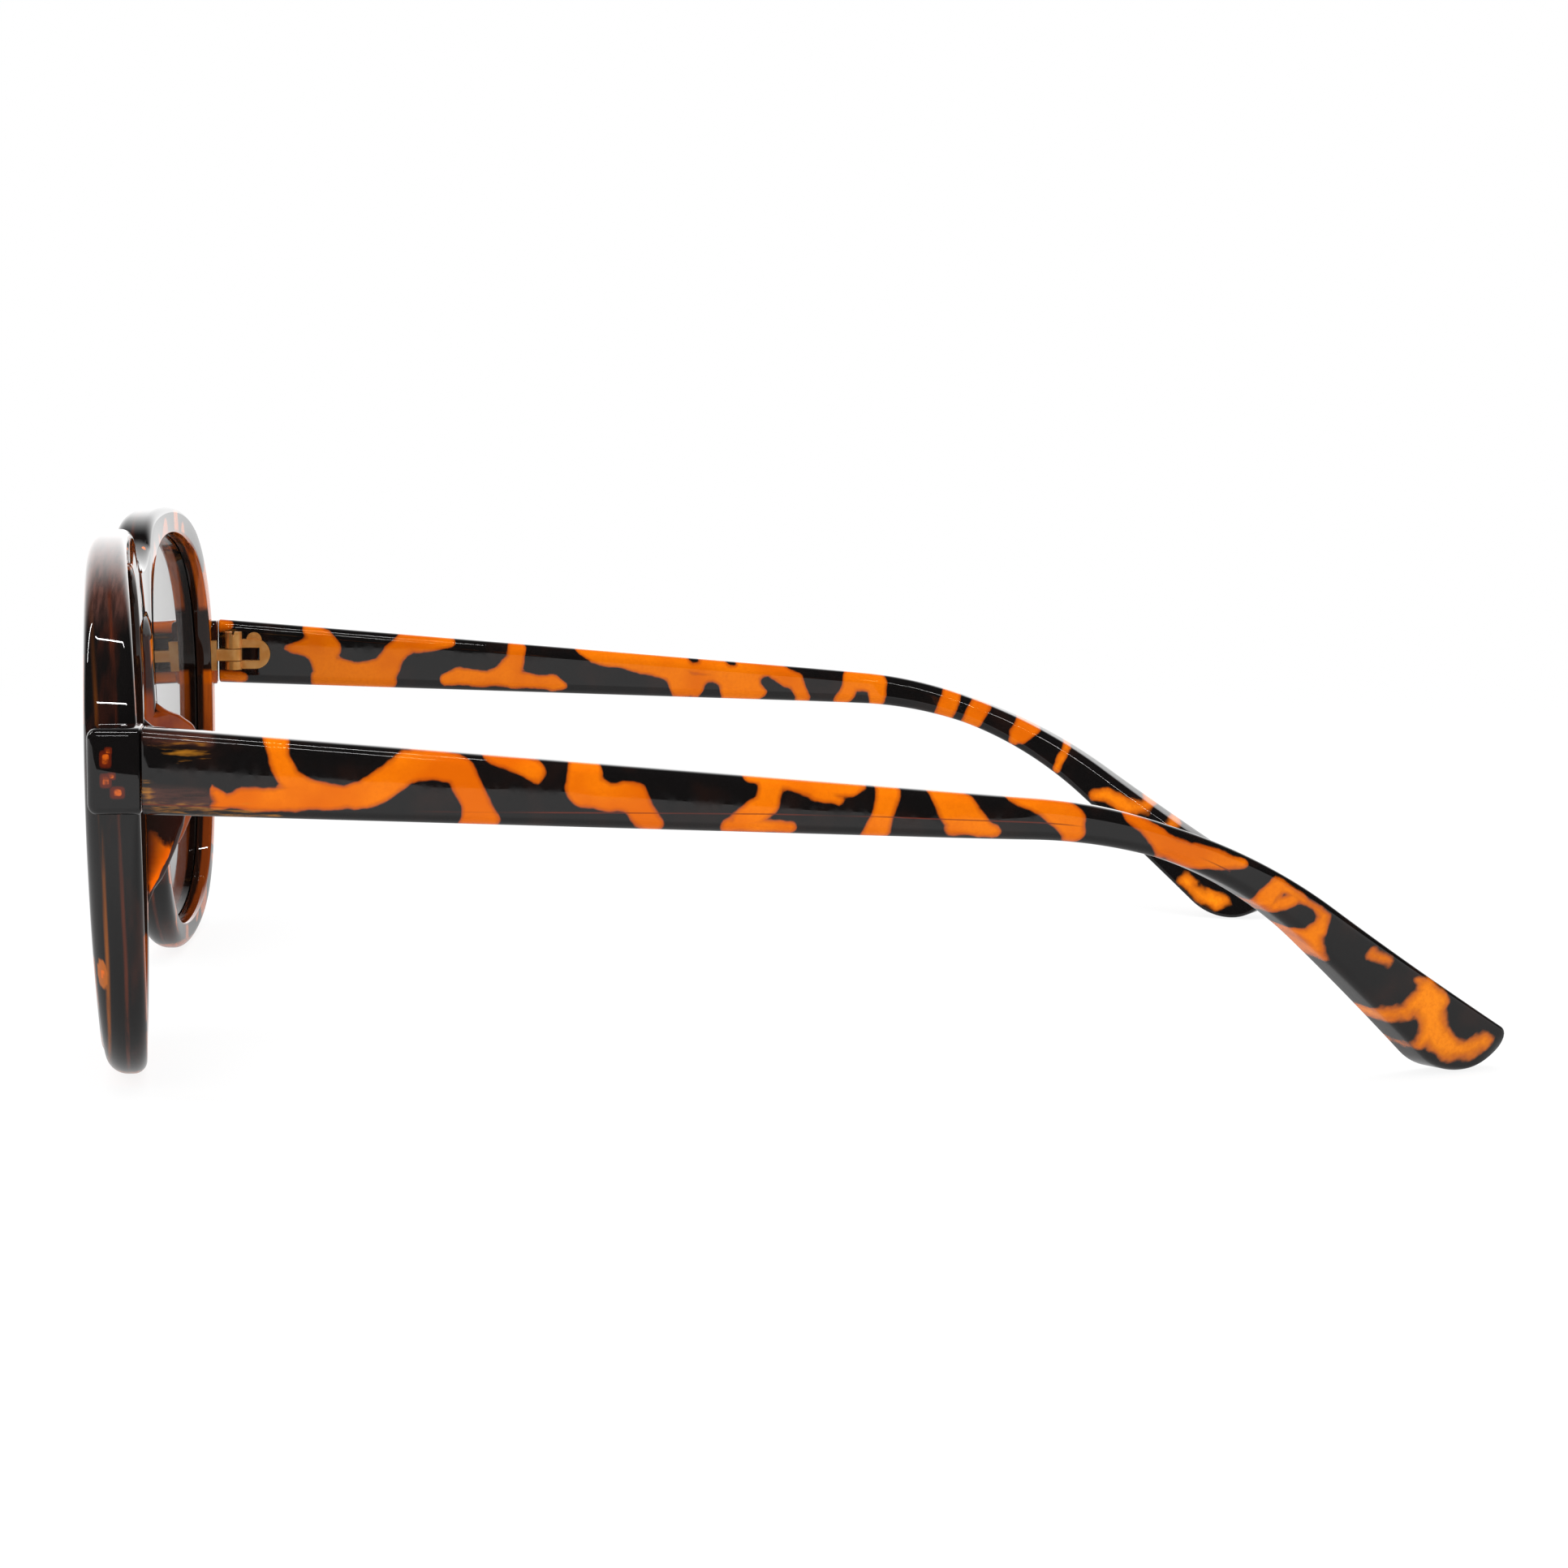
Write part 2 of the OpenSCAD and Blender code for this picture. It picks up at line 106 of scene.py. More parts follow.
def opening(at):
    """Place on the border of the lens opening, from the middle of the lens."""
    return curve(OPENING, at) * (LENS_W / 2, LENS_H / 2)


def outward(at):
    """Unit step away from the lens opening at that place."""
    t = opening(at + NEARBY) - opening(at - NEARBY)
    t = t / np.hypot(*t)
    return np.array([-t[1], t[0]])


def rim_width(at):
    return RIM_W + BROW_W * curve(BROW, at)


def outline(at):
    """Place on the outer border of the rim, from the middle of the lens."""
    return opening(at) + outward(at) * rim_width(at)


LENS_X = BRIDGE_W / 2 + LENS_W / 2
LENS_Z = -min(outline(i / 4)[1] for i in range(4 * TURN))
HALF_W = BRIDGE_W / 2 + LENS_W + RIM_W + LUG_W
LUG_Z = LENS_Z + LUG_RISE


def back_y(x, z):
    """Y of the front's back face, which is bowed and leans."""
    return (-JOINT_GAP - LUG_STEP + (x * x - (HALF_W - LUG_W) ** 2) / (2 * FACE_R)
            - tan(LEAN) * (z - LUG_Z))


def on_rim(at, n, d):
    """Place n outwards from the lens opening and d forward of the back face."""
    p = opening(at) + outward(at) * n
    x, z = LENS_X + p[0], LENS_Z + p[1]
    return (x, back_y(x, z) - d, z)


def depth(z):
    """Depth of the rim at that height above the middle of the lens."""
    return RIM_D - RIM_THIN * (z / (LENS_H / 2 + RIM_W)) ** 2


def arc(start, end, parts):
    """Points of a unit circle from one angle to the other."""
    return [(cos(mix(start, end, k / parts)), sin(mix(start, end, k / parts))) for k in range(parts + 1)]


def quarter(x, y, r, start, parts):
    """Rounded corner about its centre (x, y)."""
    return [(x + r * c, y + r * k) for c, k in arc(start, start + 90, parts)]


# Mesh helpers
def place(p):
    """From the source's mm to the frame's metres."""
    return (p[0] * MM, (p[1] - MIDDLE_Y) * MM, p[2] * MM)


def linked(name, mesh):
    obj = bpy.data.objects.new(name, mesh)
    scene.collection.objects.link(obj)
    return obj


def skin(name, rings, closed=False):
    """Solid through rings of equal length, either a closed loop or with flat ends."""
    m, n = len(rings[0]), len(rings)
    verts = [place(p) for ring in rings for p in ring]
    faces = []
    for i in range(n if closed else n - 1):
        a, b = i * m, ((i + 1) % n) * m
        faces += [(a + j, a + (j + 1) % m, b + (j + 1) % m, b + j) for j in range(m)]
    if not closed:
        faces += [tuple(range(m - 1, -1, -1)), tuple((n - 1) * m + j for j in range(m))]
    mesh = bpy.data.meshes.new(name)
    mesh.from_pydata(verts, [], faces)
    mesh.validate()
    outwards(mesh)
    return linked(name, mesh)


def outwards(mesh):
    """Turns all faces of a closed mesh outwards."""
    b = bmesh.new()
    b.from_mesh(mesh)
    bmesh.ops.recalc_face_normals(b, faces=b.faces)
    if b.calc_volume(signed=True) < 0:
        bmesh.ops.reverse_faces(b, faces=b.faces)
    b.to_mesh(mesh)
    b.free()


def mirrored(obj, name):
    mesh = obj.data.copy()
    mesh.name = name
    mesh.transform(Matrix.Scale(-1, 4, (1, 0, 0)))
    mesh.flip_normals()
    return linked(name, mesh)


def applied(obj):
    """Makes the object's modifiers part of its mesh."""
    graph = bpy.context.evaluated_depsgraph_get()
    graph.update()
    mesh = bpy.data.meshes.new_from_object(obj.evaluated_get(graph))
    obj.modifiers.clear()
    obj.data = mesh


def smooth(obj, angle):
    """Shades faces smoothly where they meet at less than the angle."""
    mesh = obj.data
    mesh.polygons.foreach_set("use_smooth", [True] * len(mesh.polygons))
    mesh.set_sharp_from_angle(angle=math.radians(angle))


# Angles from which the pieces' edges are sharp (degrees).
FRONT_SHARP, TEMPLE_SHARP, LENS_SHARP, HINGE_SHARP = 40, 50, 40, 35


# Camera, as solved on the photo (m and radians; focal length and sensor in mm)
CAMERA_AT, FOCAL, SENSOR, CLIP_START = (0.424960, -0.036486, 0.071418), 89.688, 36, 0.01
YAW, PITCH, ROLL = 0.0930222, 0.1129243, 0.00453574


def camera():
    forward = Vector((-math.cos(YAW) * math.cos(PITCH), math.sin(YAW) * math.cos(PITCH), -math.sin(PITCH)))
    level = forward.cross(Vector((0, 0, 1))).normalized()
    upright = level.cross(forward)
    right = math.cos(ROLL) * level + math.sin(ROLL) * upright
    up = -math.sin(ROLL) * level + math.cos(ROLL) * upright
    data = bpy.data.cameras.new("camera")
    data.sensor_width = SENSOR
    data.lens = FOCAL
    data.clip_start = CLIP_START
    obj = linked("camera", data)
    m = Matrix((right, up, -forward)).transposed().to_4x4()
    m.translation = Vector(CAMERA_AT)
    obj.matrix_world = m
    scene.camera = obj


camera()


# Front moulding
# Share of the half height below which the rim's edges get rounder, and by how much the back one.
LOW_FROM, BACK_ROUNDER = 0.5, 1.5
# Stations round a rim, and steps in the rounds of its edges.
RIM_STEPS, INNER_STEPS, BACK_STEPS, FRONT_STEPS = 256, 5, 8, 10
# How far the bridge and the end pieces reach into the rims.
OVERLAP = 0.3
# Bridge: rise of its top and drop of its arch at the ends, how much thinner than the rim it is
# there, its edge radius, and the heels that carry it into the rims: length, heights underneath.
TOP_RISE, ARCH_DROP, BRIDGE_THIN, BRIDGE_R = 2.35, 7.2, 0.1, 1.2
HEEL_L, HEEL_LOW, HEEL_HIGH = 2, -1.2, 0.3
BRIDGE_STEPS, BRIDGE_CORNER_STEPS = 48, 6
BRIDGE_HALF = BRIDGE_W / 2 - GROOVE_D - OVERLAP
# Nose pads: stretch of the rim, least reach, reach at full form, how much lower they start,
# depth of their root, places across the rim at the start and in full, and tip radius.
PAD_FROM, PAD_TO, PAD_STEPS, PAD_ROUND_STEPS = 12.75, 15.5, 90, 10
PAD_LEAST, PAD_FULL, PAD_SINK, PAD_ROOT = 0.05, 1.5, 0.15, 0.9
PAD_START, PAD_INSET, PAD_ROUND = 1.6, 0.25, 0.8
# Edges of the end pieces at the front and at the joint, and what counts as the same place.
LUG_R, LUG_BACK_R, LUG_STEPS, LUG_BACK_STEPS, SAME = 0.95, 0.2, 6, 3, 0.01


def rim_section(at):
    """Section of the rim with its lens groove, as places (n, d)."""
    w = rim_width(at)
    full, face = depth(outline(at)[1]), depth(opening(at)[1])
    low = clamp(LOW_FROM - curve(OPENING, at)[1])
    front_r = mix(EDGE_R, EDGE_R_LOW, low)
    back_r = mix(BACK_R, BACK_ROUNDER * BACK_R, low)
    near, far = LENS_SET - LENS_PLAY, LENS_SET + LENS_T + LENS_PLAY
    section = quarter(INNER_R, INNER_R, INNER_R, 180, INNER_STEPS)
    section += quarter(w - back_r, back_r, back_r, 270, BACK_STEPS)
    section += quarter(w - front_r, full - front_r, front_r, 0, FRONT_STEPS)
    section += quarter(INNER_R, face - INNER_R, INNER_R, 90, INNER_STEPS)
    return section + [(0, far), (GROOVE_D, far), (GROOVE_D, near), (0, near)]


def bridge_ring(x, low=None):
    """Rounded section of the bridge at x, down to its arch or to the given height."""
    out = (x / (BRIDGE_HALF + HEEL_L)) ** 2
    level = LENS_Z + BRIDGE_RISE
    top = level + BRIDGE_H / 2 + TOP_RISE * out
    if low is None:
        low = level - BRIDGE_H / 2 - ARCH_DROP * out
    d = mix(BRIDGE_D, depth(top - LENS_Z) - BRIDGE_THIN, out)
    z, h, r = (top + low) / 2, top - low, BRIDGE_R
    y = back_y(x, z)
    ring = []
    for q in range(4):
        sy, sz = (1 if q in (0, 3) else -1), (1 if q < 2 else -1)
        for c, k in arc(90 * q, 90 * q + 90, BRIDGE_CORNER_STEPS):
            v = sz * (h / 2 - r) + r * k
            ring.append((x, y - d / 2 + sy * (d / 2 - r) + r * c - tan(LEAN) * v, z + v))
    return ring


def pad_ring(at):
    """Section of a nose pad, splayed back from the rim."""
    reach = max(PAD_LEAST, PAD_REACH * float(np.interp(outline(at)[1], PAD[:, 0], PAD[:, 1])))
    r = min(PAD_T / 2, PAD_ROUND * reach)
    full = clamp(reach / PAD_FULL)
    sink = mix(PAD_SINK, 0, full)
    outer = rim_width(at) - mix(PAD_START, PAD_INSET, full)
    inner = rim_width(at) - PAD_INSET - PAD_BASE
    tip = outer - reach * tan(PAD_SPLAY)
    section = [(outer, PAD_ROOT), (outer, 0)]
    section += [(tip - r + r * c, r - reach - r * k) for c, k in arc(0, 180, PAD_ROUND_STEPS)]
    section += [(inner, 0), (inner, PAD_ROOT)]
    return [on_rim(at, n, d + sink) for n, d in section]


def lug_block():
    """End piece: a block with round front edges and finer edges at the joint."""
    bm = bmesh.new()
    bmesh.ops.create_cube(bm, size=1)
    x0 = HALF_W - LUG_W - RIM_W + GROOVE_D + OVERLAP
    size = Vector((HALF_W - x0, LUG_D, LUG_H))
    mid = Vector(((HALF_W + x0) / 2, -JOINT_GAP - LUG_D / 2, LUG_Z))
    for v in bm.verts:
        v.co = Vector((v.co[i] * size[i] + mid[i] for i in range(3)))
    back = max(v.co.y for v in bm.verts)
    front_edges = [e for e in bm.edges if min(v.co.y for v in e.verts) < back - LUG_R]
    bmesh.ops.bevel(bm, geom=front_edges, offset=LUG_R, segments=LUG_STEPS, profile=0.5, affect="EDGES")
    back_edges = [e for e in bm.edges if min(v.co.y for v in e.verts) > back - SAME]
    bmesh.ops.bevel(bm, geom=back_edges, offset=LUG_BACK_R, segments=LUG_BACK_STEPS, profile=0.5,
                    affect="EDGES")
    for v in bm.verts:
        v.co = Vector(place(v.co))
    mesh = bpy.data.meshes.new("lug")
    bm.to_mesh(mesh)
    bm.free()
    outwards(mesh)
    return linked("lug", mesh)


def front():
    """The whole moulding: rims, pads and end pieces on both sides, joined by the bridge."""
    places = [-i * TURN / RIM_STEPS for i in range(RIM_STEPS)]
    rim = skin("rim", [[on_rim(at, n, d) for n, d in rim_section(at)] for at in places], closed=True)
    pad = skin("pad", [pad_ring(mix(PAD_FROM, PAD_TO, i / PAD_STEPS)) for i in range(PAD_STEPS + 1)])
    lug = lug_block()
    parts = []
    for o in (rim, pad, lug):
        parts += [o, mirrored(o, o.name + "_right")]
    across = [mix(-BRIDGE_HALF, BRIDGE_HALF, i / BRIDGE_STEPS) for i in range(BRIDGE_STEPS + 1)]
    parts.append(skin("bridge", [bridge_ring(x) for x in across]))
    level = LENS_Z + BRIDGE_RISE
    heel = skin("heel", [bridge_ring(BRIDGE_HALF, level + HEEL_LOW),
                         bridge_ring(BRIDGE_HALF + HEEL_L, level + HEEL_HIGH)])
    parts += [heel, mirrored(heel, "heel_right")]
    body = parts[0]
    for other in parts[1:]:
        mod = body.modifiers.new("join", "BOOLEAN")
        mod.operation, mod.solver, mod.object = "UNION", "MANIFOLD", other
        applied(body)
        bpy.data.objects.remove(other)
    body.name = "front_shell"
    smooth(body, FRONT_SHARP)
    return body


# Temples
BEND_ARC = BEND_R * math.radians(TIP_SLOPE - DROOP)
# The point of the tip's round end that touches the table: its turn there and its height.
TIP_TURN = math.degrees(math.atan(TIP_L * tan(TIP_SLOPE) / (TIP_H - TIP_R)))
TIP_LOW = TIP_L * (1 - sin(TIP_TURN)) * sin(TIP_SLOPE) + (
    -TIP_H / 2 + (TIP_H - TIP_R) * (1 - cos(TIP_TURN))) * cos(TIP_SLOPE)
# Length of the straight tip that brings this point down to the table.
TIP_DROP = LUG_Z + TIP_LOW - BEND_R * (cos(DROOP) - cos(TIP_SLOPE)) - (TEMPLE_LEN - BEND_ARC) * sin(DROOP)
TIP_RUN = TIP_DROP / (sin(TIP_SLOPE) - sin(DROOP))
BEND_AT = TEMPLE_LEN - BEND_ARC - TIP_RUN


def slope(s):
    """Downward slope of the temple's middle line, s mm back along it."""
    return DROOP + (TIP_SLOPE - DROOP) * clamp((s - BEND_AT) / BEND_ARC)


def line_y(s):
    return (min(s, BEND_AT) * cos(DROOP) + BEND_R * (sin(slope(s)) - sin(DROOP))
            + max(s - BEND_AT - BEND_ARC, 0) * cos(TIP_SLOPE))


def line_z(s):
    return (LUG_Z - min(s, BEND_AT) * sin(DROOP) - BEND_R * (cos(DROOP) - cos(slope(s)))
            - max(s - BEND_AT - BEND_ARC, 0) * sin(TIP_SLOPE))


def temple_h(s):
    if s < NECK_AT:
        return mix(LUG_H, NECK_H, s / NECK_AT)
    return mix(NECK_H, TIP_H, ((s - NECK_AT) / (TEMPLE_LEN - NECK_AT)) ** TIP_FLARE)


# Points up a side of the temple and across its top, so that the pattern has room.
SIDE_POINTS, TOP_POINTS, CORNER_STEPS = 14, 3, 7
# Rings along the temple, on its round front and on both rounds of the tip.
LONG_RINGS, FRONT_RINGS, TIP_RINGS, CORNER_RINGS = 300, 10, 18, 10
# Upper corner of the tip, edge radius there, and place and edge radius of the front end.
TIP_CORNER, TIP_CORNER_R, FRONT_END, FRONT_R = 1.8, 0.6, -0.2, 0.25
# How far the last ring is drawn in, with the angle between rings there.
TIP_ROUND, CORNER_TURN = 1.2, 8
# Least edge radius, and the most as shares of the height and of the half thickness.
LEAST_R, MOST_OF_H, MOST_OF_T = 0.02, 0.45, 0.9


def filled(a, b, parts):
    """Points between two places, without the places themselves."""
    return [tuple(mix(np.array(a), np.array(b), k / parts)) for k in range(1, parts)]


def temple_ring(s, inset):
    """Ring round the temple s mm back along it, drawn in by inset: the places in the source's
    mm, and the same as places (s, across, up) on the temple."""
    y, z = line_y(s), line_z(s)
    tilt = slope(s) * clamp(s / LUG_H)
    turn = math.degrees(math.atan(max(0, y - BOW_AT) / BOW_R))
    across = np.array([cos(turn), sin(turn), 0])
    up = np.array([0, sin(tilt), cos(tilt)])
    u = clamp((s - TEMPLE_LEN + TIP_L) / TIP_L)
    w = clamp((s - TEMPLE_LEN + TIP_CORNER) / TIP_CORNER)
    low = -temple_h(s) / 2 + (TIP_H - TIP_R) * (1 - math.sqrt(1 - u * u))
    high = temple_h(s) / 2 - TIP_CORNER * (1 - math.sqrt(1 - w * w))
    shrink = min(inset, MOST_OF_H * (high - low))
    low, high = low + shrink, high - shrink
    t = TEMPLE_T / 2 - inset
    corner_r = mix(CORNER_R, TIP_CORNER_R, clamp((s - NECK_AT) / (TEMPLE_LEN - TIP_L - NECK_AT)))
    r = max(LEAST_R, min(corner_r, (high - low) * MOST_OF_H, t * MOST_OF_T))
    bow = max(0, y - BOW_AT) ** 2 / (2 * BOW_R)
    middle = np.array([HALF_W - bow - TEMPLE_T / 2 * cos(turn), y - TEMPLE_T / 2 * sin(turn), z])
    flat = []
    for q in range(4):
        corner = quarter(t - r if q in (0, 3) else r - t, high - r if q < 2 else low + r, r, 90 * q,
                         CORNER_STEPS)
        if flat:
            flat += filled(flat[-1], corner[0], SIDE_POINTS if q == 2 else TOP_POINTS)
        flat += corner
    flat += filled(flat[-1], flat[0], SIDE_POINTS)
    return [tuple(middle + across * p + up * v) for p, v in flat], [(s, p, v) for p, v in flat]


def temple(name):
    """Left temple, and where on the temple each of its points lies."""
    stations = [(FRONT_END + FRONT_R * (1 - cos(90 * k / FRONT_RINGS)),
                 FRONT_R * (1 - sin(90 * k / FRONT_RINGS))) for k in range(FRONT_RINGS + 1)]
    stations += [(mix(FRONT_END + FRONT_R, TEMPLE_LEN - TIP_L, k / LONG_RINGS), 0)
                 for k in range(1, LONG_RINGS + 1)]
    stations += [(TEMPLE_LEN - TIP_L + (TIP_L - TIP_CORNER) * sin(90 * k / TIP_RINGS), 0)
                 for k in range(1, TIP_RINGS + 1)]
    stations += [(TEMPLE_LEN - TIP_CORNER * (1 - sin(CORNER_TURN * k)),
                  TIP_ROUND * (1 - cos(CORNER_TURN * k))) for k in range(1, CORNER_RINGS + 1)]
    rings = [temple_ring(s, inset) for s, inset in stations]
    obj = skin(name, [places for places, _ in rings])
    smooth(obj, TEMPLE_SHARP)
    return obj, np.array([w for _, where in rings for w in where])


# Lenses
# Rings from the middle of a lens to its edge, the first of them very small.
LENS_RINGS, LENS_CORE = 14, 0.02


def lens(name):
    """Left lens, set in the groove of its rim."""
    radii = [LENS_CORE] + [k / LENS_RINGS for k in range(1, LENS_RINGS)] + [1.0]

    def ring(share, d):
        out = []
        for i in range(RIM_STEPS):
            at = i * TURN / RIM_STEPS
            p = (opening(at) + outward(at) * (GROOVE_D - LENS_PLAY)) * share
            x, z = LENS_X + p[0], LENS_Z + p[1]
            out.append((x, back_y(x, z) - d, z))
        return out

    rings = [ring(k, LENS_SET) for k in radii] + [ring(k, LENS_SET + LENS_T) for k in reversed(radii)]
    obj = skin(name, rings)
    smooth(obj, LENS_SHARP)
    return obj


# Tortoiseshell pattern
# Amber veins between the dark blotches, each a stroke of places (s, v, r): s back from the
# front of the temple, v up from its middle line, r the half width of the vein there, in mm.
LEFT_VEINS = [
    [(6.4, -2.7, 0.4), (9, -1.9, 1.1), (12, -1.9, 1.1), (15, -1.2, 1.45), (18, -1.3, 1.1),
     (20, -0.9, 1.3), (21.7, 0.2, 1.5), (23.6, 1.9, 1.5), (26.5, 2.2, 1.55), (28.4, 1.7, 1.4),
     (29.9, -1, 1.3), (30.5, -3, 1.8)],
    [(6.1, -0.9, 0.15), (6.5, -1.6, 0.55), (7.4, -2.2, 0.7)],
    [(11.8, 3.6, 1.2), (12.1, 1.8, 1.05), (13, 0.2, 1), (14.5, -1, 1.2)],
    [(31, 3.1, 0.4), (33.5, 2.6, 0.9), (35.2, 2.1, 1.05), (35.3, 1.4, 0.45)],
    [(39.8, 2.9, 1.5), (39.8, 0.7, 1.75), (42, 0, 1.3), (44.4, 0.2, 1.35), (45, -1, 1.25), (46.3, -2.4, 1)],
    [(54.9, 2.5, 0.45), (58, 2.3, 0.65), (61.5, 1.9, 0.9), (64.3, 2, 0.75), (65.6, 2.3, 0.3)],
    [(61.2, 1.6, 0.9), (63.2, 0.9, 0.55)],
    [(56.8, 2, 1.25), (56.5, 0.2, 1.2), (54.4, -1.5, 1.15)],
    [(53.3, -2, 0.75), (58.8, -1.9, 0.65)],
    [(67.8, 2.3, 1.15), (67.4, 0, 1.05), (66.9, -2, 1.3)],
    [(73.2, 2.2, 1.6), (74.5, 0.2, 1.8), (76.5, -0.8, 1), (77.8, -1.2, 0.6)],
    [(73.8, -1, 0.75), (77.7, -1.1, 0.65)],
    [(79.5, 2.1, 0.6), (82.5, 1.4, 1.1), (84.8, 0.2, 1.5), (85.4, -0.9, 1.15)],
    [(84.1, 1.9, 0.9), (84.9, 0.8, 1.15)],
    [(90.6, 1.5, 0.6), (93.2, 0.4, 1), (94.8, -0.5, 1.15), (98, -0.4, 1.3), (100.5, 0.2, 0.95),
     (102.6, 0.8, 0.45)],
    [(106.9, 0.5, 0.95), (106.7, -0.9, 1.2)],
    [(106.5, 0.7, 0.6), (110.3, 0.8, 0.35)],
    [(109, 0.3, 0.7), (107.8, -1.2, 0.85)],
    [(110.4, 0.85, 0.35), (112.8, 0.8, 0.55), (113.2, -0.4, 0.9), (113, -1.3, 1.15),
     (114.6, -2, 0.6), (116.1, -2.5, 0.4)],
    [(112.8, -1.6, 0.75), (111.4, -2, 0.5)],
    [(119.6, 0.9, 0.75), (120.6, 1.3, 0.65), (121.5, 1.6, 0.4)],
    [(126.5, 1.7, 1.2), (128.3, 0.9, 1.7), (129.8, -0.3, 1.5), (131.2, -1.3, 1.35), (133.3, -1.1, 1.3),
     (135, 0.1, 1.15), (136, 1.6, 0.9)],
    [(126.9, 1, 1.4), (126.4, -1.2, 1.05), (125, -2.8, 0.95)],
    [(125.4, 1.9, 0.6), (129, 1.9, 0.9)],
    [(130.3, -1.5, 1.1), (130.2, -2.8, 0.7)],
]
RIGHT_VEINS = [
    [(0, -3.1, 0.8), (2.7, -3.1, 0.7)],
    [(-0.2, 3.3, 0.9), (0.9, 3.4, 0.7)],
    [(8, 0.9, 0.2), (9.5, 0.9, 0.8), (12.2, 1.2, 2), (13.3, -1.2, 1.6), (17, -1.9, 1.5), (20.4, -1.4, 1.8),
     (21.6, 1, 1.4), (23.4, 2.6, 1.4), (26.5, 2.6, 1.1), (28.6, 2.9, 0.8)],
    [(11.4, 3.3, 1.2), (12.2, 2.2, 1.6), (13.6, 1.1, 1.4)],
    [(13, -2.7, 1.5), (20.8, -2.7, 1.4)],
    [(28.2, -1.9, 0.8), (29.8, -1.4, 1.05), (33.5, -1.5, 1.1), (36.2, -0.9, 1.45),
     (36.9, 1, 1.2), (37.1, 3.1, 1.1)],
    [(35, -0.7, 0.9), (36.7, 1.2, 0.9)],
    [(36.6, -1.3, 1.3), (39.5, -1.6, 0.95), (41.7, -1.5, 1.1), (43, -1.8, 0.6)],
    [(45.2, 3, 0.8), (47, 2.2, 1.2), (52, 1.9, 1.4), (57, 0.9, 1.6), (58.4, -0.9, 1.9)],
    [(56, 2.1, 1.2), (63, 1.6, 1.5), (70, 1.3, 1.4), (72.4, 0.4, 1.1), (73.6, -1.7, 1)],
    [(60, -0.9, 1.7), (67, -0.9, 1.9)],
    [(80, 1.4, 1), (79.6, -0.2, 1), (78.9, -1.5, 1.1)],
    [(80, 1, 1.3), (83.2, 1, 1.4), (83.5, -1.3, 1.1)],
    [(92.9, 1.6, 1.2), (92.7, -1.4, 1.2)],
    [(96.8, 1.6, 1.3), (96.5, -1.1, 1.3)],
    [(103.1, 1.7, 1.6), (102.6, 0, 1.3), (102.4, -0.9, 0.8)],
    [(108.4, 2, 0.65), (108.9, -1.3, 0.5)],
    [(114.7, -0.9, 0.8), (116, 0.2, 1), (118.6, 0.6, 1.1), (120.2, 1.8, 1), (120.5, 3, 0.9)],
    [(124.2, 3.2, 0.8), (123.9, 1.6, 0.7), (125, -0.6, 1.2), (128, 0.9, 1.1)],
    [(129.6, -1.9, 0.95), (131.8, -2, 0.9), (133.8, -1.4, 0.95), (134.6, -0.6, 0.75)],
]
# Dark islands and bites in the amber, as strokes too.
LEFT_DARKS = [[(132.6, 1.6, 1.5), (133.2, 1.6, 1.5)], [(94.8, 1.6, 0.8), (96.8, 1.5, 0.8)]]
RIGHT_DARKS = [[(59.3, 2.4, 0.45), (59.8, 2.4, 0.45)], [(64.1, 2.2, 0.35), (64.6, 2.2, 0.35)],
               [(61.9, -2.3, 1.5), (61.9, -1.4, 1.1)], [(68.8, 0, 0.7), (70.2, -1, 1), (70.6, -2, 1.3)],
               [(131.3, -0.9, 0.5), (131.9, -0.9, 0.5)]]
# Golden streaks and brown haze under the surface near the hinge.
LEFT_CLOUDS = [[(1.2, 2.6, 0.1), (5.4, 2.5, 0.2)], [(1.8, 2, 0), (5.4, 1.9, 0.1)],
               [(3.2, 1.4, -0.1), (4.6, 1.3, -0.1)],
               [(0.3, -1.3, 0.15), (0.5, -2.6, 0.15), (1.5, -3.1, 0.2), (7, -3.2, 0.2), (12, -3.3, 0.1)]]
LEFT_HAZE = [[(0.5, 3.2, 0.5), (5.6, 3.2, 0.6)], [(1, -2.1, 0.8), (5.6, -2.2, 0.8)]]
RIGHT_CLOUDS = [[(0.5, 2.4, 0.3), (1.6, 2.5, 0.1)]]
RIGHT_HAZE = [[(0.5, -1.5, 0.6), (4, -1.5, 0.5)]]
# Height of the mould line on the left temple, as places (s, v) in mm.
MOULD_LINE = np.array([(0, -2.9), (10, -2.75), (20, -2.4), (30, -2), (43, -1.35), (57, -0.7), (67, -0.4),
                       (80, -0.2), (95, -0.2), (102, -0.4)])
# From SOFT_FROM to SOFT_TO mm back the borders of the amber get softer, down to this share.
SOFT_FROM, SOFT_TO, SOFT_SHARE = 104.0, 122.0, 0.42
# How far the pattern moves back from one side of a temple to the other.
VEIN_SLANT = 0.9
# Value of the mould line's distance where there is no line.
NO_LINE = 9.0


def vein_depth(strokes, where):
    """How far each place lies inside the nearest stroke, in mm; negative outside."""
    best = np.full(len(where), -9.0)
    for stroke in strokes:
        for (s0, v0, r0), (s1, v1, r1) in zip(stroke, stroke[1:]):
            ds, dv = s1 - s0, v1 - v0
            f = np.clip(((where[:, 0] - s0) * ds + (where[:, 1] - v0) * dv) / (ds * ds + dv * dv), 0, 1)
            away = np.hypot(where[:, 0] - s0 - f * ds, where[:, 1] - v0 - f * dv)
            best = np.maximum(best, r0 + f * (r1 - r0) - away)
    return best


def store(obj, name, values):
    attribute = obj.data.attributes.new(name, "FLOAT", "POINT")
    attribute.data.foreach_set("value", np.asarray(values, np.float32))


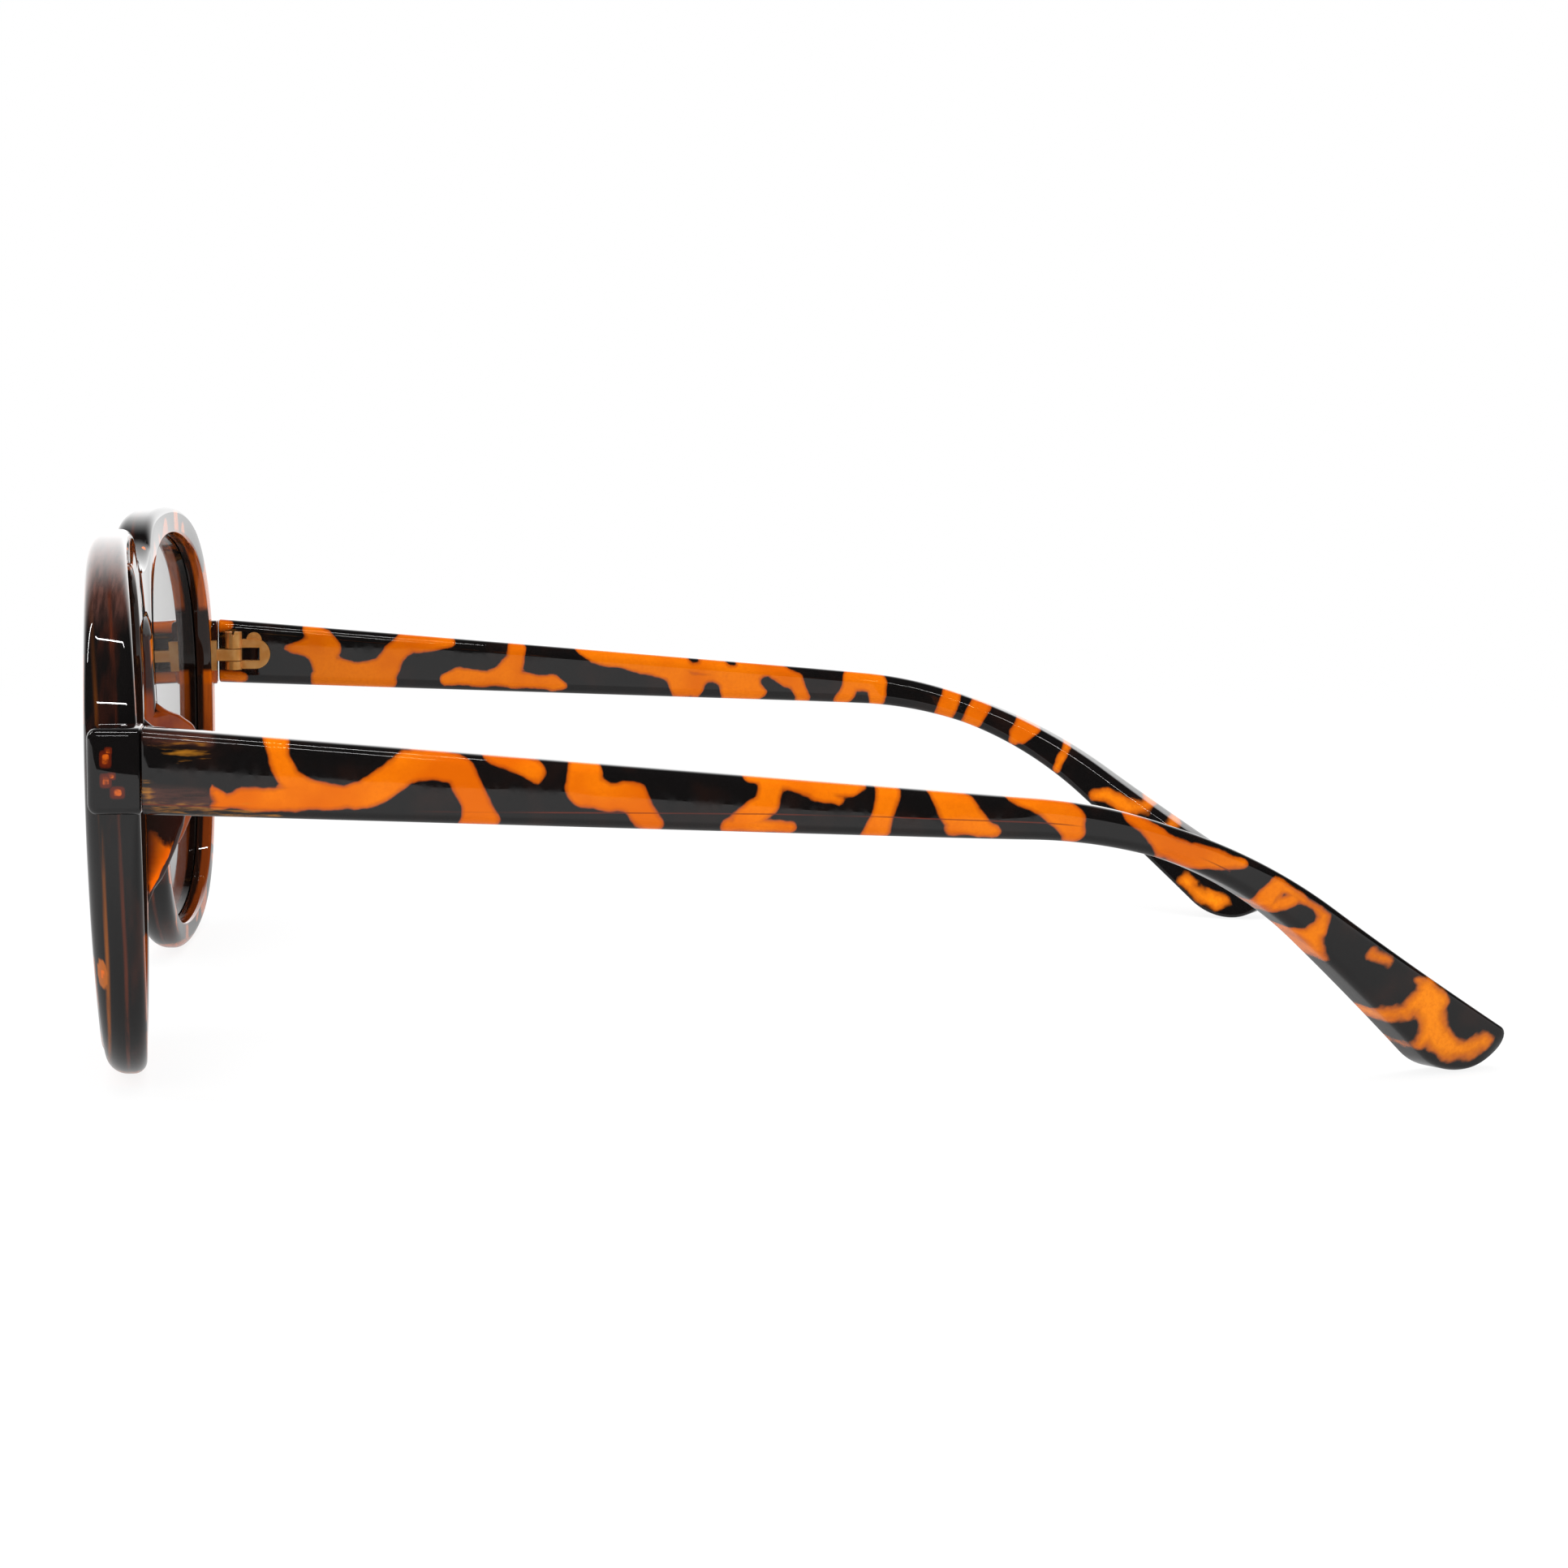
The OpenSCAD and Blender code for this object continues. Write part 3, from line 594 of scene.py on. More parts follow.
def pattern_temple(obj, where, veins, darks, clouds, haze, side):
    """Stores how deep each place lies in amber, in a cloud and in haze, and how high over the
    mould line."""
    back, across, up = where.T
    flat = np.column_stack([back + VEIN_SLANT * (0.5 - side * across / TEMPLE_T), up])
    soft = np.interp(back, (SOFT_FROM, SOFT_TO), (1.0, SOFT_SHARE))
    store(obj, "amber", np.minimum(vein_depth(veins, flat), -vein_depth(darks, flat)) * soft)
    store(obj, "cloud", vein_depth(clouds, flat))
    store(obj, "haze", vein_depth(haze, flat))
    line = up - np.interp(back, MOULD_LINE[:, 0], MOULD_LINE[:, 1])
    store(obj, "line", np.where((back < MOULD_LINE[-1, 0]) & (side > 0), line, NO_LINE))


# Lean of the front that leaves only amber or, below nought, only dark.
PURE_LEAN = 9.0
# Amber underside: up to which height, and how far it faces down.
FOOT_H, FOOT_FACING = 1.6, 0.35
# Darker upper back of the bridge and the left rim: its lean, borders in X and Z, and facing.
UPPER_LEAN, UPPER_X, UPPER_Z, UPPER_FACING = 4, 40, 27, -0.3
# Single specks: place, half sizes, and the share of those from which to which they fade in.
SPECKS = [((62.6, -4.6, 12.8), (2.0, 0.35, 1.0)), ((-13.0, -6.9, 50.7), (0.7, 0.4, 0.6)),
          ((-8.3, -5.2, 48.6), (0.4, 0.25, 0.4))]
SPECK_FADE = (1.6, 0.6)
# Start of the end pieces, inside their own width.
LUG_IN = 0.2
# Outer edges: how far they face forward or back, and the distance from the middle.
EDGE_FACING, EDGE_X = (0.99, 0.94), (8, 11)
# Walls of the lens openings: share of the opening's size, and how far they face inwards.
WALL_WITHIN, WALL_FACING = 1.12, (0.25, 0.6)
# Sides to the nose: distance from the middle, how far they face it, and their heights.
NOSE_SIDE, NOSE_FACING, NOSE_HEIGHTS = 20.0, (0.4, 0.7), (10, 14, 40, 43)
# Pads: distance behind the back face, and the depth of the dark brim with its strength.
PAD_BEHIND, PAD_BRIM, BRIM_STRENGTH = (0.1, 0.4), 1.1, 2.2
# Dark blot on the left pad: middle, half sizes and strength.
PAD_BLOT, PAD_BLOT_SIZE, BLOT_STRENGTH = (14.4, -2.1, 21.4), (6.0, 2.2, 3.0), 1.5


def ramp(values, start, end):
    """0 at the start and 1 at the end, level beyond them."""
    return np.clip((values - start) / (end - start), 0, 1)


def pattern_front(obj):
    """Stores each place's lean to amber or dark, distance forward of the back face and height, and
    whether it is on an edge, a wall, a pad, the left half, its shaded part or a blot."""
    mesh = obj.data
    n = len(mesh.vertices)
    co, no = np.empty(3 * n), np.empty(3 * n)
    mesh.vertices.foreach_get("co", co)
    mesh.vertices.foreach_get("normal", no)
    co, no = co.reshape(-1, 3) / MM + (0, MIDDLE_Y, 0), no.reshape(-1, 3)
    x, y, z = co.T
    to_side, to_back, to_top = no.T
    from_middle = np.abs(x)
    deep = np.array([back_y(at_x, at_z) for at_x, _, at_z in co]) - y
    across, up = from_middle - LENS_X, z - LENS_Z
    inward = -(np.sign(x) * to_side * across + to_top * up) / np.hypot(across, up)
    near_lens = (np.abs(across) / (LENS_W / 2)) ** 3 + (np.abs(up) / (LENS_H / 2)) ** 3 < WALL_WITHIN ** 3
    lean = np.where(from_middle > HALF_W - LUG_W + LUG_IN, -PURE_LEAN, 0.0)
    lean += np.where((z < FOOT_H) & (to_top < -FOOT_FACING), PURE_LEAN, 0.0)
    lean -= UPPER_LEAN * (to_back > UPPER_FACING) * (x > -NOSE_SIDE) * (x < UPPER_X) * (z > UPPER_Z)
    for middle, size in SPECKS:
        lean += PURE_LEAN * ramp(np.linalg.norm((co - middle) / size, axis=1), *SPECK_FADE)
    to_nose = ramp(-to_side * np.sign(x), *NOSE_FACING) * (from_middle < NOSE_SIDE)
    to_nose *= np.interp(z, NOSE_HEIGHTS, (0, 1, 1, 0))
    brim = ramp(deep + PAD_REACH * np.interp(up, PAD[:, 0], PAD[:, 1]), PAD_BRIM, 0)
    blot = BLOT_STRENGTH - np.linalg.norm((co - PAD_BLOT) / PAD_BLOT_SIZE, axis=1)
    store(obj, "lean", lean)
    store(obj, "deep", deep)
    store(obj, "height", z)
    store(obj, "edge", ramp(np.abs(to_back), *EDGE_FACING) * ramp(from_middle, *EDGE_X))
    store(obj, "wall", ramp(inward, *WALL_FACING) * near_lens)
    store(obj, "pad", np.maximum(ramp(-deep, *PAD_BEHIND), to_nose))
    store(obj, "left", x > 0)
    store(obj, "shade", (x > 0) & (x < NOSE_SIDE))
    store(obj, "blot", np.maximum(blot, BRIM_STRENGTH * brim))


# Materials
# Colours of the plastic, from amber to dark.
AMBER_WARM, AMBER_DEEP, AMBER_TIP = (0.63, 0.138, 0.002), (0.52, 0.092, 0.0015), (0.76, 0.21, 0.006)
RED_BROWN, DARK, DARK_WARM = (0.26, 0.035, 0.004), (0.004, 0.0035, 0.0035), (0.010, 0.005, 0.004)
# Colours of the sheet's layers, of the walls of the lens openings and near the hinges.
RUST_LIGHT, RUST, RUST_RED = (0.30, 0.075, 0.006), (0.19, 0.052, 0.005), (0.065, 0.014, 0.006)
WALL_BROWN, WALL_BRIGHT, WALL_DARK = (0.20, 0.036, 0.005), (0.46, 0.09, 0.008), (0.014, 0.006, 0.004)
# The last of these colours is a painted sheen for the top of the left rim.
GOLD, HAZE, RIM_PAINTED_SHEEN = (0.36, 0.14, 0.012), (0.060, 0.020, 0.014), (0.085, 0.036, 0.028)
MOULD = (0.10, 0.012, 0.004)
# Colours of the left pad, of the right pad, which is the pad colour darkened as painted shade, and of the
# dark on both.
PAD_ORANGE, PAD_DEEP = (0.95, 0.17, 0.001), (0.74, 0.095, 0.001)
PAD_FAR_SHADED, PAD_FAR_SHADED_DEEP, PAD_DARK = (0.24, 0.045, 0.004), (0.12, 0.014, 0.004), (0.022, 0.006, 0.004)
# Share of the left pad's colour that it gives off as a painted glow, standing in for the light that comes
# through it.
PAD_GLOW = 0.27
# Tints of the gloss on dark and on amber.
DARK_GLOSS, AMBER_GLOSS = (1, 1, 1), (1, 0.7, 0.3)
# Lenses and hinges.
SMOKE_DARK, SMOKE_LIGHT = (0.088, 0.083, 0.081), (0.108, 0.102, 0.10)
BRASS_DULL, BRASS_BRIGHT = (0.80, 0.35, 0.085), (0.93, 0.50, 0.17)
PLASTIC_IOR = 1.49
# The tips turn lighter between these Y (m).
TIP_LIGHTER = (0.035, 0.065)
# How far noise shifts the borders of veins, clouds, layers, wall colours and blot.
TEMPLE_WARP, CLOUD_WARP, LAYER_WARP, WALL_WARP, BLOT_WARP = 0.8, 4.5, 0.9, 7.0, 0.9
# Strength of the front's blotches, and the noise level that parts amber from dark there.
BLOTCH_STRENGTH, BLOTCH_LEVEL = 45.0, 0.515
# Layers, forward of the back face, with half their width; the first fades out upwards.
FIRST_LAYER, SECOND_LAYER, LAYER_HALF, FIRST_FADE = 3.6, 1.9, 0.3, (26.0, 44.0)
# Heights from which to which the painted sheen sets in at the top of the left rim.
RIM_SHEEN_FROM, RIM_SHEEN_TO = 44.0, 48.5
# Walls: heights of the darker stretch, of the plainer low part and of the amber spot.
WALL_DARK_LOW, WALL_DARK_HIGH, WALL_PLAIN = (29.5, 31.0), (39.5, 38.0), (30.0, 20.0)
WALL_SPOT, WALL_SPOT_FADE, WALL_SPOT_DEEP = 29.6, (0.5, 1.1), (1.2, 0.9)
# Where the walls' dark band of painted shade beside the lens begins, forward of the back face.
WALL_BAND = (1.15, 1.5)
# Heights from which to which the pads turn dark at the top.
PAD_TOP = (31.5, 33.5)


def put(links, socket, value):
    if isinstance(value, bpy.types.NodeSocket):
        links.new(value, socket)
    else:
        socket.default_value = value


class Net:
    """Short ways to add and join the nodes of one material."""

    def __init__(self, name):
        self.material = bpy.data.materials.new(name)
        self.material.use_nodes = True
        self.nodes, self.links = self.material.node_tree.nodes, self.material.node_tree.links
        self.shader = self.nodes["Principled BSDF"]
        self.where = self.nodes.new("ShaderNodeTexCoord").outputs["Object"]

    def node(self, kind, **inputs):
        """New node with these inputs, where an underscore stands for a space."""
        n = self.nodes.new("ShaderNode" + kind)
        for name, value in inputs.items():
            put(self.links, n.inputs[name.replace("_", " ")], value)
        return n

    def feed(self, name, value):
        """Gives one input of the material's shader its value."""
        put(self.links, self.shader.inputs[name], value)

    def attribute(self, name):
        n = self.node("Attribute")
        n.attribute_name = name
        return n.outputs["Fac"]

    def along(self, axis):
        """The place along one axis."""
        return self.node("SeparateXYZ", Vector=self.where).outputs[axis]

    def math(self, kind, a, b=0.0):
        n = self.node("Math")
        n.operation = kind
        put(self.links, n.inputs[0], a)
        put(self.links, n.inputs[1], b)
        return n.outputs[0]

    def plus(self, a, b):
        return self.math("ADD", a, b)

    def minus(self, a, b):
        return self.math("SUBTRACT", a, b)

    def times(self, a, b):
        return self.math("MULTIPLY", a, b)

    def swing(self, noise, reach, middle=0.5):
        """Noise turned into a shift to both sides of nought."""
        return self.times(self.minus(noise, middle), reach)

    def noise(self, vector, scale, detail=2.0, rough=0.5, distort=0.0):
        n = self.node("TexNoise", Vector=vector, Scale=scale, Detail=detail, Roughness=rough,
                      Distortion=distort)
        return n.outputs["Fac"]

    def mapped(self, scale, shift=(0, 0, 0)):
        """The place, stretched and shifted."""
        return self.node("Mapping", Vector=self.where, Scale=scale, Location=shift).outputs[0]

    def between(self, value, low, high, to_low=0.0, to_high=1.0):
        """Smooth step from to_low at low to to_high at high."""
        n = self.node("MapRange", Value=value, From_Min=low, From_Max=high, To_Min=to_low,
                      To_Max=to_high)
        n.interpolation_type = "SMOOTHSTEP"
        return n.outputs[0]

    def near(self, value, middle, full, none):
        """1 up to full away from the middle value, 0 from none on."""
        return self.between(self.math("ABSOLUTE", self.minus(value, middle)), full, none, 1.0, 0.0)

    def mix(self, factor, a, b):
        """Colour a where the factor is 0, b where it is 1."""
        n = self.node("Mix")
        n.data_type = "RGBA"
        put(self.links, n.inputs["Factor"], factor)
        for name, colour in (("A", a), ("B", b)):
            is_socket = isinstance(colour, bpy.types.NodeSocket)
            put(self.links, n.inputs[name], colour if is_socket else (*colour, 1))
        return n.outputs["Result"]

    def bump(self, height, strength, distance):
        n = self.node("Bump", Height=height, Strength=strength, Distance=distance)
        self.feed("Normal", n.outputs[0])


def polish(net):
    """Gloss of tumbled plastic: very fine haze, and very slight waves."""
    haze = net.noise(net.where, 900.0, 3.0, 0.6)
    net.feed("Roughness", net.between(haze, 0.3, 0.7, 0.0, 0.035))
    net.bump(net.noise(net.where, 120.0, 1.0), 0.02, 0.0003)
    net.feed("IOR", PLASTIC_IOR)


def shell_colour(net, amount):
    """Colour from the depth inside the amber, in mm: red-brown at a vein's edge, amber within."""
    tint = net.noise(net.where, 95.0, 2.5, 0.6)
    amber = net.mix(net.between(tint, 0.38, 0.62), AMBER_DEEP, AMBER_WARM)
    amber = net.mix(net.between(net.along("Y"), *TIP_LIGHTER), amber, AMBER_TIP)
    grain = net.noise(net.where, 2600.0, 2.0, 0.7)
    amber = net.mix(net.between(grain, 0.35, 0.75, 0.0, 0.35), amber, AMBER_DEEP)
    cloudy = net.noise(net.where, 240.0, 2.0)
    dark = net.mix(net.between(cloudy, 0.45, 0.75), DARK, DARK_WARM)
    amber = net.mix(net.between(amount, 0.05, 0.5, 0.6, 0.0), amber, RED_BROWN)
    return net.mix(net.between(amount, -0.10, 0.14), dark, amber)


def temple_material(name):
    """Amber veins on dark, brown haze and golden clouds near the hinge, and the mould line."""
    net = Net(name)
    warp = net.swing(net.noise(net.where, 420.0, 2.5), TEMPLE_WARP)
    amount = net.plus(net.attribute("amber"), warp)
    colour = shell_colour(net, amount)
    streak = net.noise(net.mapped((1, 0.3, 2.2)), 900.0, 3.0, 0.6)
    haze = net.between(net.attribute("haze"), -0.5, 0.4)
    colour = net.mix(net.times(haze, net.between(streak, 0.3, 0.6, 0.2, 0.75)), colour, HAZE)
    cloud = net.plus(net.attribute("cloud"), net.swing(streak, CLOUD_WARP))
    colour = net.mix(net.between(cloud, -0.3, 0.9, 0.0, 0.7), colour, GOLD)
    line = net.between(net.math("ABSOLUTE", net.attribute("line")), 0.03, 0.09, 0.7, 0.0)
    line = net.times(line, net.between(net.noise(net.where, 60.0, 1.0), 0.40, 0.55))
    net.feed("Base Color", net.mix(line, colour, MOULD))
    net.feed("Specular Tint", net.mix(net.between(amount, 0.0, 0.3), DARK_GLOSS, AMBER_GLOSS))
    polish(net)
    return net.material


def front_material():
    """Blotches on the front and back faces, rusty layers and specks along the outer edges, a painted sheen
    at the top of the left rim, brown walls round the lenses with painted shade, and the pads' colours,
    the right pad's in painted shade and the left one's with a painted glow."""
    net = Net("tortoise_front")
    blotch = net.noise(net.mapped((1, 0.5, 0.8), (0.3, 0, 0.02)), 105.0, 1.6, 0.4, 0.7)
    blotch = net.swing(blotch, BLOTCH_STRENGTH, BLOTCH_LEVEL)
    lean = net.attribute("lean")
    colour = shell_colour(net, net.plus(blotch, lean))
    speck = net.mix(net.between(lean, 8.0, 8.9), RUST_LIGHT, AMBER_DEEP)
    edge = net.mix(net.between(lean, 0.5, 3.0), layers(net), speck)
    edge = net.mix(net.between(lean, -6.0, -3.0, 1.0, 0.0), edge, DARK)
    colour = net.mix(net.attribute("edge"), colour, edge)
    colour = net.mix(net.attribute("wall"), colour, wall(net))
    colour = net.mix(net.attribute("pad"), colour, pads(net))
    net.feed("Base Color", knurls(net, colour))
    # Painted glow on the left pad, for the light that comes through it.
    left_pad = net.times(net.attribute("pad"), net.attribute("left"))
    net.feed("Emission Color", colour)
    net.feed("Emission Strength", net.times(left_pad, PAD_GLOW))
    polish(net)
    return net.material


def layers(net):
    """The sheet's layers along the outer edges, as two thin rusty lines with gaps, and a streaked
    painted sheen at the top of the left rim."""
    level = net.plus(net.attribute("deep"), net.swing(net.noise(net.where, 45.0, 1.0), LAYER_WARP))
    broken = net.noise(net.mapped((1, 9, 0.45)), 90.0, 3.0, 0.6)
    first = net.near(level, FIRST_LAYER, 0.0, LAYER_HALF)
    first = net.times(first, net.between(broken, 0.36, 0.62))
    first = net.times(first, net.between(net.attribute("height"), *FIRST_FADE, 1.0, 0.1))
    second = net.near(level, SECOND_LAYER, 0.0, LAYER_HALF)
    second = net.times(second, net.between(broken, 0.62, 0.40))
    tinge = net.between(net.noise(net.mapped((1, 3, 0.6)), 120.0, 3.0, 0.6), 0.5, 0.75, 0.0, 0.35)
    colour = net.mix(tinge, DARK, RUST_RED)
    sheen_streaks = net.noise(net.mapped((1, 8, 0.5)), 260.0, 3.0, 0.6)
    # Painted sheen at the top of the left rim, broken into streaks.
    haze = net.between(net.attribute("height"), RIM_SHEEN_FROM, RIM_SHEEN_TO)
    haze = net.times(haze, net.attribute("left"))
    haze = net.times(haze, net.between(sheen_streaks, 0.3, 0.7, 0.25, 1.0))
    colour = net.mix(haze, colour, RIM_PAINTED_SHEEN)
    return net.mix(first, net.mix(second, colour, RUST_RED), RUST)


def wall(net):
    """Walls of the lens openings: a dark band of painted shade beside the lens and brown fibres behind it,
    darker at half height, where one amber spot shines through, and painted shade on the left lens's nose
    side."""
    fibre = net.noise(net.mapped((1, 7, 0.25)), 160.0, 3.0, 0.6)
    ragged = net.swing(net.noise(net.where, 160.0, 2.0), WALL_WARP)
    height = net.plus(net.attribute("height"), ragged)
    brown = net.mix(net.between(fibre, 0.35, 0.65), WALL_BROWN, WALL_BRIGHT)
    brown = net.mix(net.between(height, *WALL_PLAIN), brown, WALL_BROWN)
    dark = net.times(net.between(height, *WALL_DARK_LOW), net.between(height, *WALL_DARK_HIGH))
    brown = net.mix(dark, brown, WALL_DARK)
    spot = net.near(net.attribute("height"), WALL_SPOT, *WALL_SPOT_FADE)
    spot = net.times(spot, net.between(net.attribute("deep"), *WALL_SPOT_DEEP))
    brown = net.mix(spot, brown, AMBER_DEEP)
    level = net.plus(net.attribute("deep"), net.times(fibre, 0.5))
    # Painted shade: the dark band beside the lens, and the left lens's nose side.
    band = net.math("MAXIMUM", net.between(level, *WALL_BAND), net.attribute("shade"))
    return net.mix(band, brown, WALL_DARK)


def pads(net):
    """Orange left pad with a dark blot and a dark brim, right pad in painted shade as a red-brown copy,
    both dark at the top.
    """
    fibre = net.noise(net.mapped((1, 1, 0.5)), 220.0, 3.0, 0.6)
    near = net.mix(net.between(fibre, 0.35, 0.65), PAD_DEEP, PAD_ORANGE)
    # The right pad's colours are the pad colour darkened as painted shade.
    far = net.mix(net.between(fibre, 0.3, 0.7), PAD_FAR_SHADED, PAD_FAR_SHADED_DEEP)
    ragged = net.plus(net.attribute("blot"), net.times(net.noise(net.where, 500.0, 3.0), BLOT_WARP))
    dark = net.times(net.between(ragged, 0.85, 1.1), net.attribute("left"))
    colour = net.mix(dark, net.mix(net.attribute("left"), far, near), PAD_DARK)
    return net.mix(net.between(net.attribute("height"), *PAD_TOP), colour, PAD_DARK)


# The hinge's anchor shows as red specks through the end piece: place back and up from the
# middle of the end piece, half width and half height (mm).
KNURLS = [(-0.66, 1.20, 0.34, 0.50), (-0.40, 1.95, 0.22, 0.22), (-0.66, -0.75, 0.34, 0.42),
          (-0.15, -0.35, 0.25, 0.22), (0.37, -1.84, 0.42, 0.36)]
KNURL_RED, KNURL_HALO = (0.42, 0.075, 0.005), (0.09, 0.010, 0.003)
# They show only on the outer face, from here to there inside the full half width (mm).
KNURL_SIDE = (0.2, 0.1)


def knurls(net, colour):
    """The colour with the specks of the anchor and their dim red halo."""
    from_middle = net.math("ABSOLUTE", net.along("X"))
    outer = net.between(from_middle, *((HALF_W - inside) * MM for inside in KNURL_SIDE))
    nearest = None
    for back, up, wide, high in KNURLS:
        at_y, at_z = (-JOINT_GAP - LUG_D / 2 + back - MIDDLE_Y) * MM, (LUG_Z + up) * MM
        dy = net.math("DIVIDE", net.minus(net.along("Y"), at_y), wide * MM)
        dz = net.math("DIVIDE", net.minus(net.along("Z"), at_z), high * MM)
        away = net.plus(net.math("POWER", dy, 4.0), net.math("POWER", dz, 4.0))
        nearest = away if nearest is None else net.math("MINIMUM", nearest, away)
    ragged = net.plus(nearest, net.times(net.noise(net.where, 1500.0, 2.0), 1.6))
    halo = net.times(net.between(ragged, 1.4, 12.0, 0.8, 0.0), outer)
    patchy = net.between(net.noise(net.where, 1300.0, 2.0), 0.38, 0.58, 0.15, 1.0)
    speck = net.times(net.times(net.between(ragged, 0.9, 1.6, 1.0, 0.0), outer), patchy)
    return net.mix(speck, net.mix(halo, colour, KNURL_HALO), KNURL_RED)


def smoke():
    """Grey tinted lens, a little uneven."""
    net = Net("smoke_lens")
    tint = net.noise(net.where, 25.0, 1.0)
    net.feed("Base Color", net.mix(net.between(tint, 0.3, 0.7), SMOKE_DARK, SMOKE_LIGHT))
    fine = net.noise(net.where, 700.0, 2.0)
    net.feed("Roughness", net.between(fine, 0.3, 0.7, 0.0, 0.03))
    net.bump(tint, 0.03, 0.0003)
    net.feed("Transmission Weight", 1.0)
    net.feed("IOR", PLASTIC_IOR)
    return net.material


def brass():
    """Brass with a brushed grain and some tarnish."""
    net = Net("hinge_brass")
    grain = net.noise(net.mapped((2500, 600, 2500)), 1.0, 3.0)
    tarnish = net.noise(net.where, 500.0, 2.0, 0.5)
    net.feed("Base Color", net.mix(net.between(tarnish, 0.35, 0.65), BRASS_DULL, BRASS_BRIGHT))
    net.feed("Roughness", net.between(grain, 0.3, 0.7, 0.28, 0.42))
    net.bump(grain, 0.06, 0.00004)
    net.feed("Metallic", 0.8)
    return net.material


# Bevel of the hinges' edges (m).
HINGE_BEVEL, HINGE_BEVEL_STEPS = 0.00006, 2


def dress(obj, mat, slot, body, *nodes):
    """Gives a piece its material, and its place in the frame."""
    obj.data.materials.clear()
    obj.data.materials.append(mat)
    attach(obj, body)
    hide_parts(*nodes)


# Make the pieces
lens_mat = smoke()
brass_mat = brass()

shell = front()
pattern_front(shell)
dress(shell, front_material(), "shell", "front", "front_frame")
left, left_where = temple("left_arm_shell")
right = mirrored(left, "right_arm_shell")
smooth(right, TEMPLE_SHARP)
pattern_temple(left, left_where, LEFT_VEINS, LEFT_DARKS, LEFT_CLOUDS, LEFT_HAZE, 1)
pattern_temple(right, left_where, RIGHT_VEINS, RIGHT_DARKS, RIGHT_CLOUDS, RIGHT_HAZE, -1)
dress(left, temple_material("tortoise_left"), "shell", "left_arm", "left_temple")
dress(right, temple_material("tortoise_right"), "shell", "right_arm", "right_temple")
left_glass = lens("left_glass")
right_glass = mirrored(left_glass, "right_glass")
smooth(right_glass, LENS_SHARP)
dress(left_glass, lens_mat, "lens", "front", "left_lens")
dress(right_glass, lens_mat, "lens", "front", "right_lens")
for node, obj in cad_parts.items():
    if "hinge" in node:
        for slot in obj.material_slots:
            slot.material = brass_mat
        bevel = obj.modifiers.new("edges", "BEVEL")
        bevel.width, bevel.segments, bevel.limit_method = HINGE_BEVEL, HINGE_BEVEL_STEPS, "ANGLE"
        bevel.angle_limit = math.radians(HINGE_SHARP)


# Stage and light
WHITE = (1, 1, 1, 1)
# The floor ends at X = FLOOR_EDGE - FLOOR_SLANT * Y, which puts the border of its reflection
# at the middle of the left temple (m).
FLOOR_FROM, FLOOR_EDGE, FLOOR_SLANT, FLOOR_HALF = -3.0, 0.323, 0.62, 3.0
FLOOR_SHADE, FLOOR_ROUGH, FLOOR_SHINE = 0.92, 0.9, 0.1
# Share of even white in the floor as seen, near the glasses and from FADE_TO m off.
SEEN_NEAR, SEEN_FAR, FADE_FROM, FADE_TO = 0.88, 1.0, 0.10, 0.42
# Brightness of the floor in reflections: round the glasses, and far off on the -X side.
GLOSS_NEAR, GLOSS_FAR, GLOSS_FROM, GLOSS_TO = 0.85, 1.15, -0.05, -0.4
# Share of that brightness close to the glasses, a painted shadow in the floor's reflections, and from where
# to where it fades in (m).
DIM_GLOSS, DIM_FROM, DIM_TO = 0.66, 0.085, 0.14
# Surroundings: light on the object, and what reflections see, dark but for the -X side.
AROUND, TENT_DARK, TENT_WHITE, TENT_FROM, TENT_TO = 0.85, 0.02, 1.7, -0.42, -0.97
SEEN_DIRECTLY, REFLECTED = ("Is Camera Ray", "Is Transmission Ray"), ("Is Glossy Ray",)
# Lamps: place, aim, width and height (m), power (W), and whether reflections show them.
LAMPS = {
    "top_box": ((0.15, 0.0, 0.9), (0, 0, 0.02), (0.9, 0.9), 5, False),
    "side_box": ((0.75, -0.45, 0.45), (0, 0, 0.03), (0.5, 0.5), 2.5, False),
    "high_strip": ((0.25, -0.12, 0.76), (0.06, -0.06, 0.04), (0.36, 0.010), 1.0, True),
    "low_strip": ((0.68, -0.12, 0.44), (0.06, -0.06, 0.04), (0.26, 0.008), 0.5, True),
    "front_strip": ((-0.08, -0.62, 0.48), (0.06, -0.06, 0.04), (0.012, 0.4), 1.0, True),
}


def light_path(nodes, links, kinds):
    """1 where the ray is of one of these kinds, else 0."""
    path = nodes.new("ShaderNodeLightPath")
    out = path.outputs[kinds[0]]
    for kind in kinds[1:]:
        either = nodes.new("ShaderNodeMath")
        either.operation = "MAXIMUM"
        links.new(out, either.inputs[0])
        links.new(path.outputs[kind], either.inputs[1])
        out = either.outputs[0]
    return out


def blended(nodes, links, factor, a, b):
    n = nodes.new("ShaderNodeMixShader")
    for socket, value in zip(n.inputs, (factor, a, b)):
        links.new(value, socket)
    return n.outputs[0]


